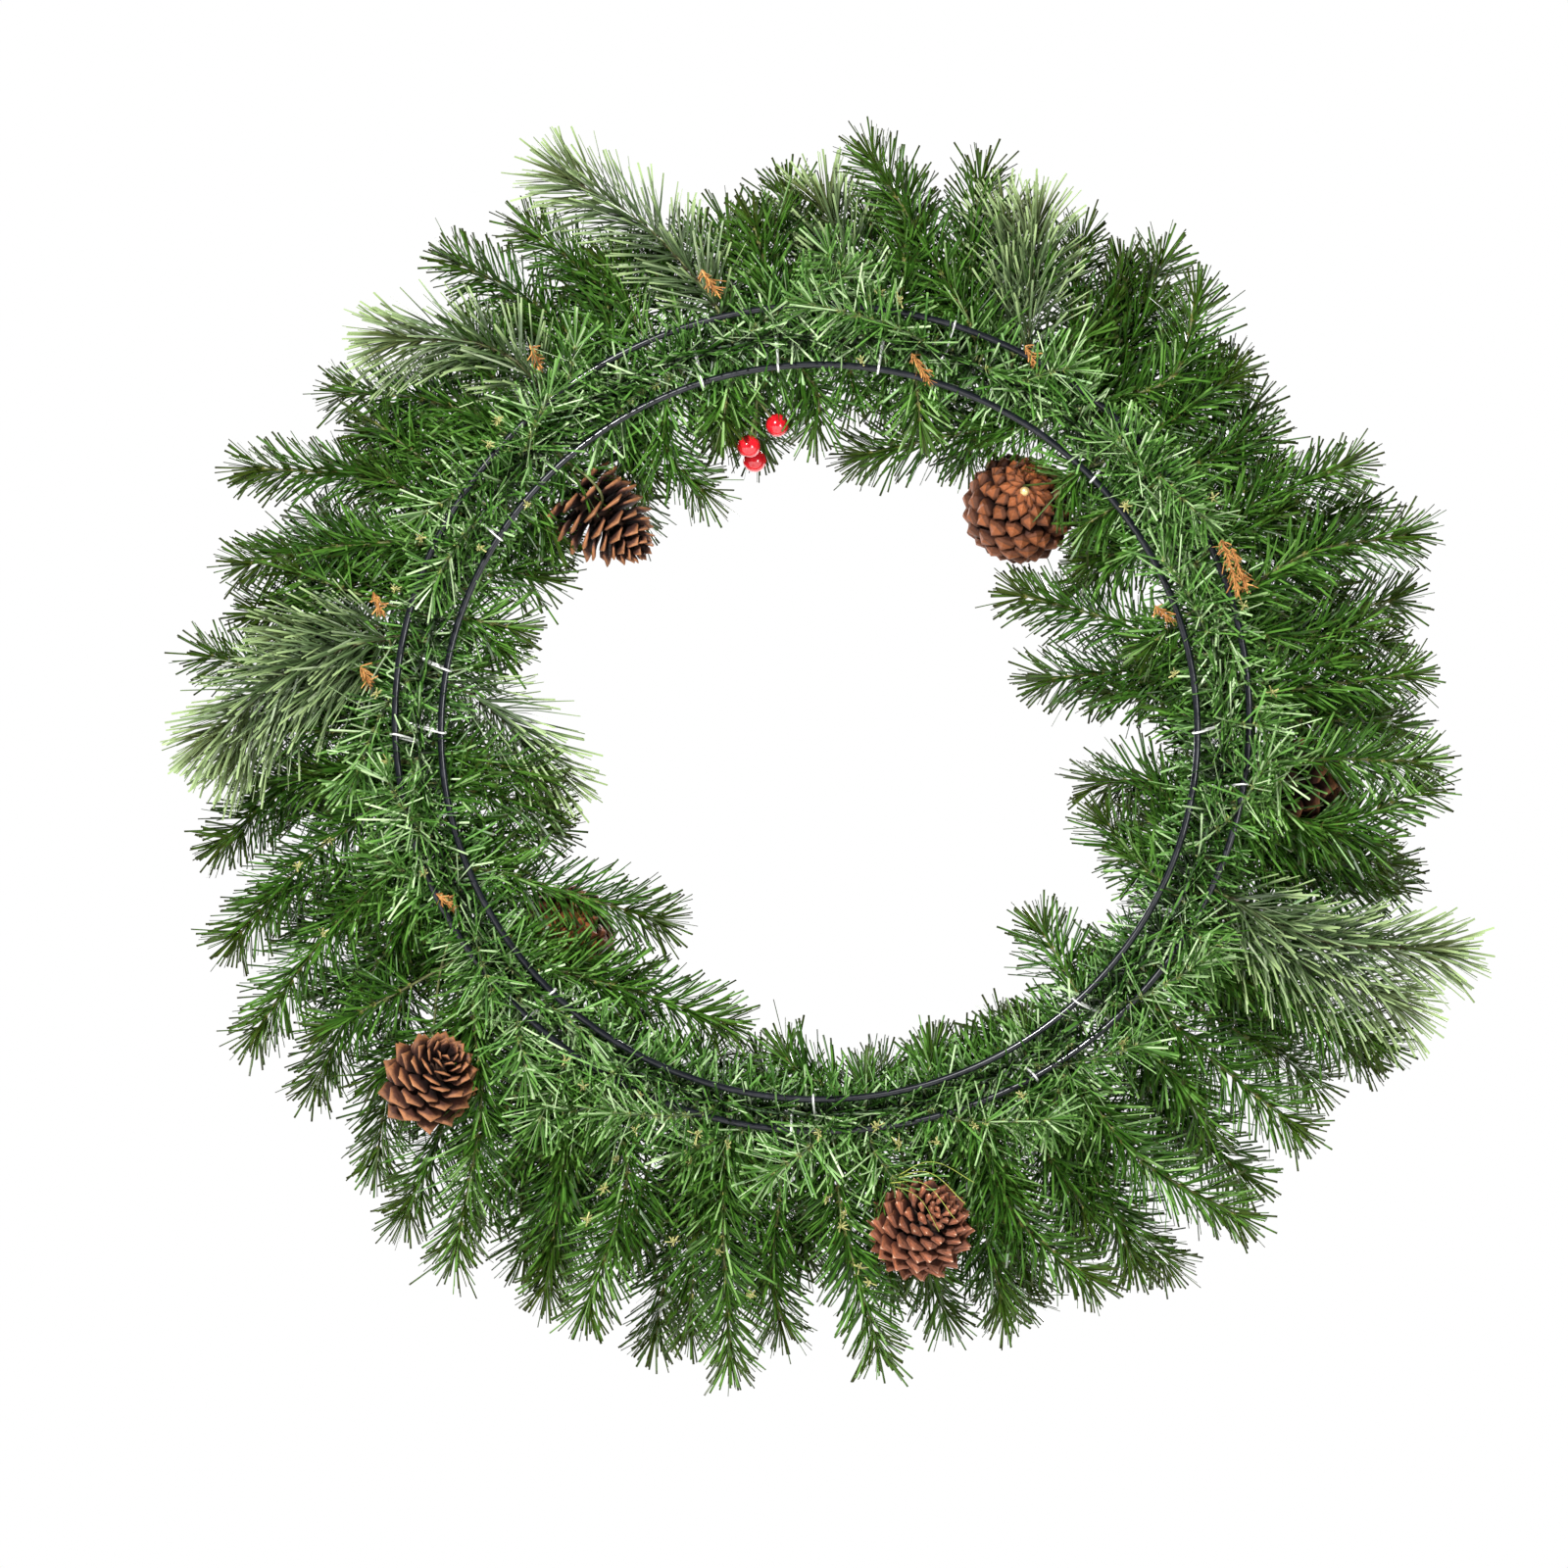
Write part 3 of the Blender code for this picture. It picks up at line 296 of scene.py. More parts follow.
class Bench:
    """The place where one material's nodes are put together."""

    def __init__(self, name: str) -> None:
        """Start a material with its shader."""
        self.material = bpy.data.materials.new(name)
        self.material.use_nodes = True
        self.tree = self.material.node_tree
        self.shader = self.tree.nodes["Principled BSDF"]
        self.coordinates: bpy.types.NodeSocket | None = None

    def node(
            self, kind: str, settings: dict | None = None, inputs: dict | None = None
    ) -> bpy.types.Node:
        """Add a node.

        Args:
            kind: the node's type.
            settings: its properties, which are set first. A ramp's stops are (place, colour).
            inputs: values or links for its sockets, by name or number.

        Returns:
            The node.
        """
        made = self.tree.nodes.new(kind)
        for key, value in (settings or {}).items():
            if key == "stops":
                self.set_stops(made.color_ramp.elements, value)
            else:
                setattr(made, key, value)
        for key, value in (inputs or {}).items():
            self.feed(made.inputs[key], value)
        return made

    @staticmethod
    def set_stops(elements: bpy.types.ColorRampElements, stops: tuple) -> None:
        """Set a ramp's colours, the first and last on its own two stops."""
        elements[0].position, elements[-1].position = stops[0][0], stops[-1][0]
        elements[0].color = (*stops[0][1], 1.0)
        elements[-1].color = (*stops[-1][1], 1.0)
        for place, colour in stops[1:-1]:
            elements.new(place).color = (*colour, 1.0)

    def feed(
            self, socket: bpy.types.NodeSocket,
            value: "Channel | bpy.types.NodeSocket | Colour | float") -> None:
        """Link a socket to a channel or another socket, or set its value."""
        if isinstance(value, Channel):
            value = value.socket
        if isinstance(value, bpy.types.NodeSocket):
            self.tree.links.new(value, socket)
        elif socket.type == "RGBA":
            socket.default_value = (*value, 1.0)
        else:
            socket.default_value = value

    def attribute(self, name: str) -> Channel:
        """Read a mesh attribute."""
        made = self.node("ShaderNodeAttribute", {"attribute_name": name})
        return Channel(self, made.outputs["Fac"])

    def place(self) -> bpy.types.NodeSocket:
        """Return the point's place on the wreath."""
        if self.coordinates is None:
            self.coordinates = self.node("ShaderNodeTexCoord").outputs["Object"]
        return self.coordinates

    def noise(self, scale: float, detail: float = 2.0) -> Channel:
        """Return cloudy noise from 0 to 1, its scale in lumps a metre."""
        made = self.node(
            "ShaderNodeTexNoise", {},
            {"Vector": self.place(), "Scale": scale, "Detail": detail, "Roughness": 0.6})
        return Channel(self, made.outputs[0])

    def ramp(self, share: Channel, stops: tuple) -> bpy.types.NodeSocket:
        """Return a colour that runs through stops."""
        made = self.node("ShaderNodeValToRGB", {"stops": stops}, {"Fac": share})
        return made.outputs["Color"]

    def blend(
            self, first: "bpy.types.NodeSocket | Colour", second: "bpy.types.NodeSocket | Colour",
            share: Channel | float) -> bpy.types.NodeSocket:
        """Return two colours blended by a share."""
        made = self.node(
            "ShaderNodeMix", {"data_type": "RGBA"}, {0: share, 6: first, 7: second})
        return made.outputs[2]

    def shade(
            self, colour: "bpy.types.NodeSocket | Colour", by: Channel) -> bpy.types.NodeSocket:
        """Return a colour made darker or lighter by a channel."""
        made = self.node(
            "ShaderNodeVectorMath", {"operation": "SCALE"}, {0: colour, "Scale": by})
        return made.outputs[0]

    def bump(self, height: Channel, depth: float, strength: float = 1.0) -> None:
        """Raise the surface by a channel, at its true depth in metres."""
        made = self.node(
            "ShaderNodeBump", {},
            {"Height": height, "Distance": depth, "Strength": strength})
        self.feed(self.shader.inputs["Normal"], made.outputs[0])

    def finish(
            self, colour: bpy.types.NodeSocket, roughness: Channel | float, **constants: float
    ) -> bpy.types.Material:
        """Set the surface's colour, roughness and constant values and return the material."""
        self.feed(self.shader.inputs["Base Color"], colour)
        self.feed(self.shader.inputs["Roughness"], roughness)
        for name, value in constants.items():
            self.shader.inputs[name.replace("_", " ")].default_value = value
        return self.material


class Finish(Protocol):
    """What every finish has: a name, and a way to make its material."""

    name: str

    def make(self) -> bpy.types.Material:
        """Make the material."""


@dataclass(frozen=True)
class Film:
    """Cut plastic film: needles of random tones from dark to pale, tan at the root.

    The palest tones stand partly for glints off the film: painted highlight. Tints darkened deep in
    the wreath and on shaded sprays are painted shade, as are the fringe's near-black roots and
    pine's dark ends.
    """

    name: str
    dark: Colour
    body: Colour
    light: Colour
    pale: Colour
    root: Colour
    tip: Colour
    outer_tone: Colour
    stops: tuple[float, float, float] = (0.45, 0.80, 0.98)
    root_end: float = 0.10
    tip_start: float = 0.82
    roughness: float = 0.38
    shine: float = 0.36
    patches_a_metre: float = 26.0
    fibres_a_metre: float = 1400.0
    fibre_depth: float = 0.00005

    def make(self) -> bpy.types.Material:
        """Make the material."""
        bench = Bench(self.name)
        along = bench.attribute("along")
        tint = bench.attribute("tint")
        patches = bench.noise(self.patches_a_metre, 1.0)
        fibres = bench.noise(self.fibres_a_metre, 1.0)
        # The tints carry painted shade from deep in the wreath and from shaded sprays; the ramp's
        # palest stop stands partly for glints off the film, as painted highlight.
        shade = tint * 0.85 + patches * 0.15
        body, light, pale = self.stops
        colour = bench.ramp(shade, (
            (0.0, self.dark), (body, self.body), (light, self.light), (pale, self.pale)))
        # Towards a twig's outer end needles blend to another colour; on pine it is dark olive,
        # painted shade at the sprays' outline.
        outer_tone = bench.attribute("reach").between(0.55, 1.15) * (1.15 - tint)
        colour = bench.blend(colour, self.outer_tone, outer_tone)
        # Roots blend from the root colour: tan, but near-black on the fringe, where it is painted
        # shade deep in the band.
        colour = bench.blend(self.root, colour, along.between(0.02, self.root_end))
        # Ends blend to the tip colour: pale, but near-black on pine, where it is painted shade at
        # the sprays' outline.
        ends = along.between(self.tip_start, 1.0) * (1.3 - tint)
        colour = bench.blend(colour, self.tip, ends.between(0.0, 1.0) * 0.85)
        colour = bench.shade(colour, 0.86 + fibres * 0.28)
        bench.bump(fibres, self.fibre_depth, 0.4)
        return bench.finish(
            colour, self.roughness - 0.08 + fibres * 0.16, Specular_IOR_Level=self.shine)


@dataclass(frozen=True)
class TwistedWire:
    """Thin wire that needles are twisted into, with film caught between its turns."""

    name: str
    wire: Colour
    film: Colour
    turns_a_metre: float = 260.0
    turn_depth: float = 0.0004

    def make(self) -> bpy.types.Material:
        """Make the material."""
        bench = Bench(self.name)
        caught = bench.noise(self.turns_a_metre * 2, 2.0)
        colour = bench.blend(self.wire, self.film, caught.between(0.35, 0.6))
        colour = bench.shade(colour, 0.7 + bench.attribute("tint") * 0.6)
        bench.bump(caught, self.turn_depth, 0.8)
        return bench.finish(colour, 0.45 + caught * 0.25, Specular_IOR_Level=0.4)


@dataclass(frozen=True)
class CoatedWire:
    """Dark coated steel wire: satin, dusty, with small scuffs."""

    name: str
    coat: Colour
    dust: Colour
    dust_a_metre: float = 70.0
    scuffs_a_metre: float = 240.0

    def make(self) -> bpy.types.Material:
        """Make the material."""
        bench = Bench(self.name)
        dust = bench.noise(self.dust_a_metre, 4.0).between(0.48, 0.72)
        scuffs = bench.noise(self.scuffs_a_metre, 2.0).between(0.60, 0.75)
        colour = bench.blend(self.coat, self.dust, dust * 0.2 + scuffs * 0.25)
        return bench.finish(
            colour, 0.30 + dust * 0.08 + scuffs * 0.06, Specular_IOR_Level=0.3, Coat_Weight=0.3,
            Coat_Roughness=0.10)


@dataclass(frozen=True)
class BareMetal:
    """Bare drawn metal with faint tarnish."""

    name: str
    bright: Colour
    tarnish: Colour
    roughness: float = 0.25
    wear_a_metre: float = 600.0
    wear_depth: float = 0.00005

    def make(self) -> bpy.types.Material:
        """Make the material."""
        bench = Bench(self.name)
        worn = bench.noise(self.wear_a_metre, 3.0)
        colour = bench.blend(self.bright, self.tarnish, worn.between(0.45, 0.75) * 0.6)
        bench.bump(worn, self.wear_depth, 0.5)
        return bench.finish(colour, self.roughness + worn * 0.2, Metallic=0.5)


@dataclass(frozen=True)
class ConeBark:
    """A dry cone scale: dark at its root, reddish brown, with a lighter end and a pale point.

    The root's near-black, deep among the other scales, is partly painted shade. How much darker the
    end gets away from its point is painted shade at the plates' edges, between the scales.
    """

    name: str
    depth: Colour
    slab: Colour
    end: Colour
    point: Colour
    edge_shade: float = 0.0
    grain_a_metre: float = 520.0
    blotches_a_metre: float = 150.0
    grain_depth: float = 0.0006

    def make(self) -> bpy.types.Material:
        """Make the material."""
        bench = Bench(self.name)
        along = bench.attribute("along")
        crown = bench.attribute("crown")
        tint = bench.attribute("tint")
        grain = bench.noise(self.grain_a_metre, 4.0)
        blotches = bench.noise(self.blotches_a_metre, 3.0)
        worn = along + grain * 0.16 - 0.08
        # The near-black root colour, where scales lie deep in the cone, is partly painted shade.
        colour = bench.ramp(worn, (
            (0.0, self.depth), (0.54, self.depth), (0.82, self.slab), (0.99, self.end)))
        spots = (crown + blotches * 0.3 - 0.15).between(0.60, 0.85)
        colour = bench.blend(colour, self.point, spots * 0.8)
        # Ends darken away from their point: painted shade at the plates' edges, between the scales.
        inner = crown.between(0.0, 0.30)
        wear = 0.55 + grain * 0.45 + tint * 0.45
        colour = bench.shade(colour, wear * (1 - self.edge_shade + inner * self.edge_shade))
        bench.bump(grain, self.grain_depth, 0.9)
        return bench.finish(colour, 0.5 + grain * 0.3, Specular_IOR_Level=0.35)


@dataclass(frozen=True)
class Lacquer:
    """Glossy lacquer on a berry, a little darker in patches."""

    name: str
    bright: Colour
    deep: Colour
    patches_a_metre: float = 130.0
    pits_a_metre: float = 500.0
    pit_depth: float = 0.00008

    def make(self) -> bpy.types.Material:
        """Make the material."""
        bench = Bench(self.name)
        patches = bench.noise(self.patches_a_metre, 3.0)
        colour = bench.blend(self.bright, self.deep, patches.between(0.4, 0.75))
        bench.bump(bench.noise(self.pits_a_metre, 2.0), self.pit_depth, 0.4)
        return bench.finish(
            colour, 0.14 + patches * 0.08, Coat_Weight=0.6, Coat_Roughness=0.06)


@dataclass(frozen=True)
class Frayed:
    """Frayed paper or film: a streaky colour between two."""

    name: str
    light: Colour
    dark: Colour
    streaks_a_metre: float = 700.0
    streak_depth: float = 0.0003

    def make(self) -> bpy.types.Material:
        """Make the material."""
        bench = Bench(self.name)
        tint = bench.attribute("tint")
        streaks = bench.noise(self.streaks_a_metre, 3.0)
        colour = bench.blend(self.light, self.dark, tint * 0.7 + streaks * 0.4 - 0.05)
        bench.bump(streaks, self.streak_depth, 0.7)
        return bench.finish(colour, 0.6 + streaks * 0.2, Specular_IOR_Level=0.3)


@dataclass(frozen=True)
class StudioFloor:
    """A plain pale floor with the faintest mottling."""

    name: str
    pale: Colour
    mottling_a_metre: float = 3.0

    def make(self) -> bpy.types.Material:
        """Make the material."""
        bench = Bench(self.name)
        mottling = bench.noise(self.mottling_a_metre, 3.0)
        colour = bench.shade(self.pale, 0.97 + mottling * 0.05)
        return bench.finish(colour, 0.8)


# Pine's near-black tip and dark olive outer colour are painted shade at the sprays' ends and
# outline.
PINE_FILM = Film(
    "pine_film", dark=(0.005, 0.019, 0.001), body=(0.029, 0.092, 0.008),
    light=(0.084, 0.205, 0.028), pale=(0.30, 0.45, 0.18), root=(0.23, 0.21, 0.06),
    tip=(0.016, 0.018, 0.003), outer_tone=(0.034, 0.050, 0.004), stops=(0.46, 0.77, 0.95), shine=0.20)
# The fringe's near-black root, fading out over the inner 60% of each needle, is painted shade deep
# in the band.
FRINGE_FILM = Film(
    "fringe_film", dark=(0.003, 0.012, 0.001), body=(0.022, 0.080, 0.007),
    light=(0.094, 0.235, 0.040), pale=(0.46, 0.60, 0.34), root=(0.003, 0.007, 0.002),
    tip=(0.12, 0.25, 0.06), outer_tone=(0.04, 0.10, 0.015), stops=(0.40, 0.69, 0.91), root_end=0.60,
    shine=0.28)
SHORT_TWIG_FILM = Film(
    "short_twig_film", dark=(0.005, 0.018, 0.002), body=(0.031, 0.104, 0.011),
    light=(0.110, 0.262, 0.046), pale=(0.43, 0.56, 0.31), root=(0.25, 0.26, 0.08),
    tip=(0.15, 0.28, 0.07), outer_tone=(0.05, 0.12, 0.02), stops=(0.36, 0.64, 0.90), root_end=0.12,
    shine=0.28)
CASHMERE_FILM = Film(
    "cashmere_film", dark=(0.018, 0.034, 0.010), body=(0.042, 0.076, 0.022),
    light=(0.095, 0.150, 0.060), pale=(0.33, 0.39, 0.25), root=(0.050, 0.038, 0.018),
    tip=(0.28, 0.38, 0.16), outer_tone=(0.085, 0.105, 0.025), tip_start=0.50, roughness=0.5)
TWIG_WIRE = TwistedWire("twig_wire", wire=(0.055, 0.058, 0.020), film=(0.12, 0.14, 0.04))
SHORT_WIRE = TwistedWire("short_wire", wire=(0.018, 0.030, 0.010), film=(0.045, 0.080, 0.022))
CORE_WIRE = TwistedWire("core_wire", wire=(0.030, 0.035, 0.030), film=(0.04, 0.10, 0.025))
RING_COAT = CoatedWire("ring_coat", coat=(0.004, 0.005, 0.008), dust=(0.028, 0.032, 0.042))
TIE_METAL = BareMetal("tie_metal", bright=(0.86, 0.86, 0.84), tarnish=(0.60, 0.60, 0.58))
BRASS = BareMetal("brass", bright=(0.75, 0.55, 0.25), tarnish=(0.40, 0.26, 0.10))
OPEN_BARK = ConeBark(
    "open_bark", depth=(0.012, 0.004, 0.003), slab=(0.062, 0.021, 0.012),
    end=(0.250, 0.100, 0.038), point=(0.38, 0.22, 0.11))
PLATED_BARK = ConeBark(
    "plated_bark", depth=(0.010, 0.003, 0.003), slab=(0.088, 0.024, 0.012),
    end=(0.250, 0.078, 0.034), point=(0.60, 0.40, 0.28), edge_shade=0.40)
CLOSED_BARK = ConeBark(
    "closed_bark", depth=(0.008, 0.003, 0.002), slab=(0.070, 0.018, 0.007),
    end=(0.215, 0.062, 0.017), point=(0.25, 0.085, 0.030), edge_shade=0.58)
CONE_HEART = Frayed("cone_heart", light=(0.050, 0.024, 0.014), dark=(0.016, 0.008, 0.005))
BERRY_RED = Lacquer("berry_red", bright=(0.60, 0.010, 0.018), deep=(0.30, 0.004, 0.010))
BERRY_END = Frayed("berry_end", light=(0.10, 0.03, 0.02), dark=(0.03, 0.015, 0.01))
STEM_WRAP = Frayed("stem_wrap", light=(0.56, 0.28, 0.08), dark=(0.17, 0.050, 0.012))
TAN_KNOT = Frayed("tan_knot", light=(0.52, 0.50, 0.21), dark=(0.27, 0.26, 0.08))
WISP_FILM = Frayed("wisp_film", light=(0.42, 0.46, 0.08), dark=(0.20, 0.26, 0.05))


class Finishes:
    """The materials that have been made, each once."""

    def __init__(self) -> None:
        """Start with none made."""
        self.made: dict[str, bpy.types.Material] = {}

    def of(self, finish: Finish) -> bpy.types.Material:
        """Return a finish's material, making it the first time."""
        if finish.name not in self.made:
            self.made[finish.name] = finish.make()
        return self.made[finish.name]


FINISHES = Finishes()


class Stamps(NamedTuple):
    """Places for copies of a small shape: root, three scaled axes, bow and two looks."""

    roots: np.ndarray
    across: np.ndarray
    up: np.ndarray
    ways: np.ndarray
    bows: np.ndarray
    tints: np.ndarray
    reaches: np.ndarray

    def kept(self, keep: np.ndarray) -> "Stamps":
        """Return only the copies that a mask keeps."""
        return Stamps(*(values[keep] for values in self))

    def cut(self, shares: np.ndarray) -> "Stamps":
        """Return the copies cut to shares of their lengths."""
        return self._replace(ways=self.ways * shares[:, None], bows=self.bows * shares[:, None])

    def points(self, share: float) -> np.ndarray:
        """Return the points at a share of each copy's length."""
        return self.roots + self.ways * share + self.bows * share * share


def gather(stamps: list[Stamps]) -> Stamps:
    """Return several sets of stamps as one."""
    return Stamps(*(np.concatenate(values) for values in zip(*stamps)))


def new_model(*layers: str) -> bmesh.types.BMesh:
    """Start a mesh with the layers that the finishes read."""
    model = bmesh.new()
    model.loops.layers.uv.new(MAP_NAME)
    for layer in ("along", "tint", "reach", *layers):
        model.verts.layers.float.new(layer)
    return model


def whole(model: bmesh.types.BMesh) -> list:
    """Return all the vertices, edges and faces of a mesh."""
    return [*model.verts, *model.edges, *model.faces]


def placed(name: str, data: bpy.types.ID) -> bpy.types.Object:
    """Put a mesh, a lamp or a camera in the scene as an object."""
    holder = bpy.data.objects.new(name, data)
    bpy.context.scene.collection.objects.link(holder)
    return holder


def stood(place: Vector, towards: Vector) -> Matrix:
    """Return the move that stands a shape's +Z along a direction at a place."""
    turn = towards.to_track_quat("Z", "Y").to_matrix().to_4x4()
    return Matrix.Translation(place) @ turn


def smooth(model: bmesh.types.BMesh, material: int = 0) -> None:
    """Smooth all the faces of a model and give them a material's index."""
    for face in model.faces:
        face.material_index = material
        face.smooth = True


def to_mesh(model: bmesh.types.BMesh, name: str) -> bpy.types.Mesh:
    """Turn a finished model into a mesh."""
    mesh = bpy.data.meshes.new(name)
    model.to_mesh(mesh)
    model.free()
    return mesh


@dataclass(frozen=True)
class NeedleCut:
    """One strip of film, one metre each way, that runs from its root along +Z."""

    bent: bool = True
    root_width: float = 0.72
    tip_width: float = 0.86
    bend: float = 0.5
    corner: float = 0.577
    column_start: float = 0.04
    column_end: float = 0.94
    row_start: float = 0.03
    row_share: float = 0.94

    def make(self) -> bpy.types.Mesh:
        """Make the strip's mesh: three-sided, with square ends, and a bend if it has one."""
        model = new_model()
        bmesh.ops.create_cone(
            model, cap_ends=True, segments=3, radius1=self.corner, radius2=self.corner,
            depth=1.0, matrix=Matrix.Translation((0.0, 0.0, 0.5)))
        if self.bent:
            bmesh.ops.bisect_plane(
                model, geom=whole(model), plane_co=(0.0, 0.0, self.bend),
                plane_no=(0.0, 0.0, 1.0))
        along = model.verts.layers.float["along"]
        self.lay_flat(model)
        for vertex in model.verts:
            share = vertex.co.z
            vertex[along] = share
            width = np.interp(share, (0.0, self.bend, 1.0), (self.root_width, 1.0, self.tip_width))
            vertex.co.x *= width
        return to_mesh(model, "needle_cut")

    def lay_flat(self, model: bmesh.types.BMesh) -> None:
        """Give each side of the strip its own column of the map."""
        layer = model.loops.layers.uv[MAP_NAME]
        for face in model.faces:
            middle = face.calc_center_median()
            side = int((np.arctan2(middle.x, middle.y) % tau) / (tau / 3))
            for loop in face.loops:
                turn = (np.arctan2(loop.vert.co.x, loop.vert.co.y) % tau) / (tau / 3)
                step = (turn - side) % 3
                column = side + (self.column_end if 0.5 < step < 1.5 else self.column_start)
                row = self.row_start + self.row_share * loop.vert.co.z
                loop[layer].uv = (column / 3, row)


def stamp(template: bpy.types.Mesh, stamps: Stamps, name: str) -> bpy.types.Mesh:
    """Copy a small shape to many places.

    Args:
        template: the shape, with its root at the origin and its length along +Z.
        stamps: the places.
        name: the name of the new mesh.

    Returns:
        One mesh of all the copies, each with its own cell of the map.
    """
    count = len(stamps.roots)
    holder = placed(name, template)
    copies = holder.modifiers.new("copies", "ARRAY")
    copies.use_relative_offset = False
    copies.count = count
    evaluated = holder.evaluated_get(bpy.context.evaluated_depsgraph_get())
    mesh = bpy.data.meshes.new_from_object(evaluated)
    mesh.name = name
    bpy.data.objects.remove(holder)
    points = np.zeros(len(template.vertices) * 3, np.float32)
    template.vertices.foreach_get("co", points)
    points = points.reshape(-1, 3)
    place = (
        stamps.roots[:, None]
        + stamps.across[:, None] * points[None, :, 0:1]
        + stamps.up[:, None] * points[None, :, 1:2]
        + stamps.ways[:, None] * points[None, :, 2:3]
        + stamps.bows[:, None] * points[None, :, 2:3] ** 2)
    mesh.vertices.foreach_set("co", place.astype(np.float32).ravel())
    for layer, values in (("tint", stamps.tints), ("reach", stamps.reaches)):
        spread = np.repeat(values, len(points)).astype(np.float32)
        mesh.attributes[layer].data.foreach_set("value", spread)
    spread_cells(mesh, count)
    mesh.update()
    return mesh


def spread_cells(mesh: bpy.types.Mesh, count: int) -> None:
    """Move each copy's part of the map to its own cell, above the band of the wires."""
    layer = mesh.uv_layers[MAP_NAME].uv
    places = np.zeros(len(mesh.loops) * 2, np.float32)
    layer.foreach_get("vector", places)
    places = places.reshape(count, -1, 2)
    columns = int(np.ceil(np.sqrt(count)))
    cell = np.arange(count)
    rows = int(np.ceil(count / columns))
    places[:, :, 0] = (places[:, :, 0] + (cell % columns)[:, None]) / columns
    places[:, :, 1] = (places[:, :, 1] + (cell // columns)[:, None]) / rows
    places[:, :, 1] = WIRE_BAND + (1 - WIRE_BAND) * places[:, :, 1]
    layer.foreach_set("vector", places.ravel())


class Gauge(NamedTuple):
    """A wire's cross-section: radii at its two ends, sides, section spacing, flatness, twist."""

    radius: float
    end_radius: float
    sides: int = 6
    step: float = 0.003
    flatness: float = 1.0
    twist: float = 0.0


TWIG_GAUGE = Gauge(TWIG_RADIUS, TWIG_TIP_RADIUS, step=0.0028, flatness=0.62, twist=radians(60))
BACK_GAUGE = Gauge(TWIG_RADIUS, TWIG_TIP_RADIUS, sides=4, step=0.0050)
CORE_GAUGE = Gauge(
    GARLAND_CORE_RADIUS, GARLAND_CORE_RADIUS, step=0.0024, flatness=0.7, twist=radians(50))
PLAIN_GAUGE = Gauge(0.0008, 0.0008, step=0.003)
TIE_GAUGE = Gauge(0.0007, 0.0007, sides=7, step=0.0009)
WISP_GAUGE = Gauge(0.0004, 0.0002, sides=4, step=0.003, flatness=0.5, twist=radians(8))


class WireWork:
    """Drawn wires of one mesh, each with its own strip of the map."""

    BAND_SHARE = 0.95

    def __init__(self) -> None:
        """Start with no wire drawn."""
        self.model = new_model()
        self.strips = 0

    def draw(self, path: Path, gauge: Gauge, tint: float, material: int = 0) -> None:
        """Draw one wire along a path, closed at both ends."""
        sections = max(round(path.length / gauge.step), 2)
        lengths = np.linspace(0.0, path.length, sections + 1)
        points, axes = path.at(lengths), path.axes_at(lengths)
        circle = bmesh.ops.create_circle(
            self.model, cap_ends=True, segments=gauge.sides, radius=gauge.radius)
        face = circle["verts"][0].link_faces[0]
        across = Vector(crosswise(axes[:1])[0][0])
        for index in range(sections + 1):
            axis = Vector(axes[index])
            across = (across - axis * across.dot(axis)).normalized()
            across = Matrix.Rotation(gauge.twist, 3, axis) @ across
            share = index / sections
            if index:
                before = list(face.verts)
                face = bmesh.ops.extrude_discrete_faces(self.model, faces=[face])["faces"][0]
                self.map_sides(face, before, share, 1 / sections)
            radius = gauge.radius + (gauge.end_radius - gauge.radius) * share
            self.place_section(face, Vector(points[index]), axis, across, (radius, gauge.flatness))
            for vertex in face.verts:
                vertex[self.model.verts.layers.float["along"]] = share
                vertex[self.model.verts.layers.float["tint"]] = tint
            for side in {side for vertex in face.verts for side in vertex.link_faces}:
                side.material_index = material
                side.smooth = True
        self.strips += 1

    @staticmethod
    def place_section(face, centre: Vector, axis: Vector, across: Vector, size: tuple) -> None:
        """Put a section's corners round the wire's centre line."""
        up = axis.cross(across)
        radius, flatness = size
        for index, vertex in enumerate(face.verts):
            angle = tau * index / len(face.verts)
            vertex.co = centre + radius * (cos(angle) * across + sin(angle) * flatness * up)

    def map_sides(self, face, before: list, share: float, step: float) -> None:
        """Lay one ring of side faces out along the wire's strip of the map."""
        layer = self.model.loops.layers.uv[MAP_NAME]
        sides = len(before)
        column = {vertex: index for index, vertex in enumerate(before)}
        column.update({vertex: index for index, vertex in enumerate(face.verts)})
        fresh = set(face.verts)
        for edge in face.edges:
            for side in edge.link_faces:
                if side is face:
                    continue
                columns = [column.get(loop.vert, 0) for loop in side.loops]
                seam = max(columns) - min(columns) > 1
                for loop, place in zip(side.loops, columns):
                    if seam and place == 0:
                        place = sides
                    along = share if loop.vert in fresh else share - step
                    row = self.strips + STRIP_START + STRIP_SHARE * place / sides
                    loop[layer].uv = (along, row)

    def mesh(self, name: str) -> bpy.types.Mesh:
        """Close the wires' ends, fit their strips to the band and return the mesh."""
        rims = [edge for edge in self.model.edges if edge.is_boundary]
        bmesh.ops.holes_fill(self.model, edges=rims, sides=0)
        bmesh.ops.recalc_face_normals(self.model, faces=self.model.faces)
        layer = self.model.loops.layers.uv[MAP_NAME]
        for face in self.model.faces:
            for loop in face.loops:
                loop[layer].uv.y *= WIRE_BAND * self.BAND_SHARE / max(self.strips, 1)
        return to_mesh(self.model, name)


def joined(name: str, meshes: list[bpy.types.Mesh]) -> bpy.types.Mesh:
    """Return several meshes as one, and remove them."""
    model = new_model()
    for mesh in meshes:
        model.from_mesh(mesh)
    for mesh in meshes:
        bpy.data.meshes.remove(mesh)
    return to_mesh(model, name)


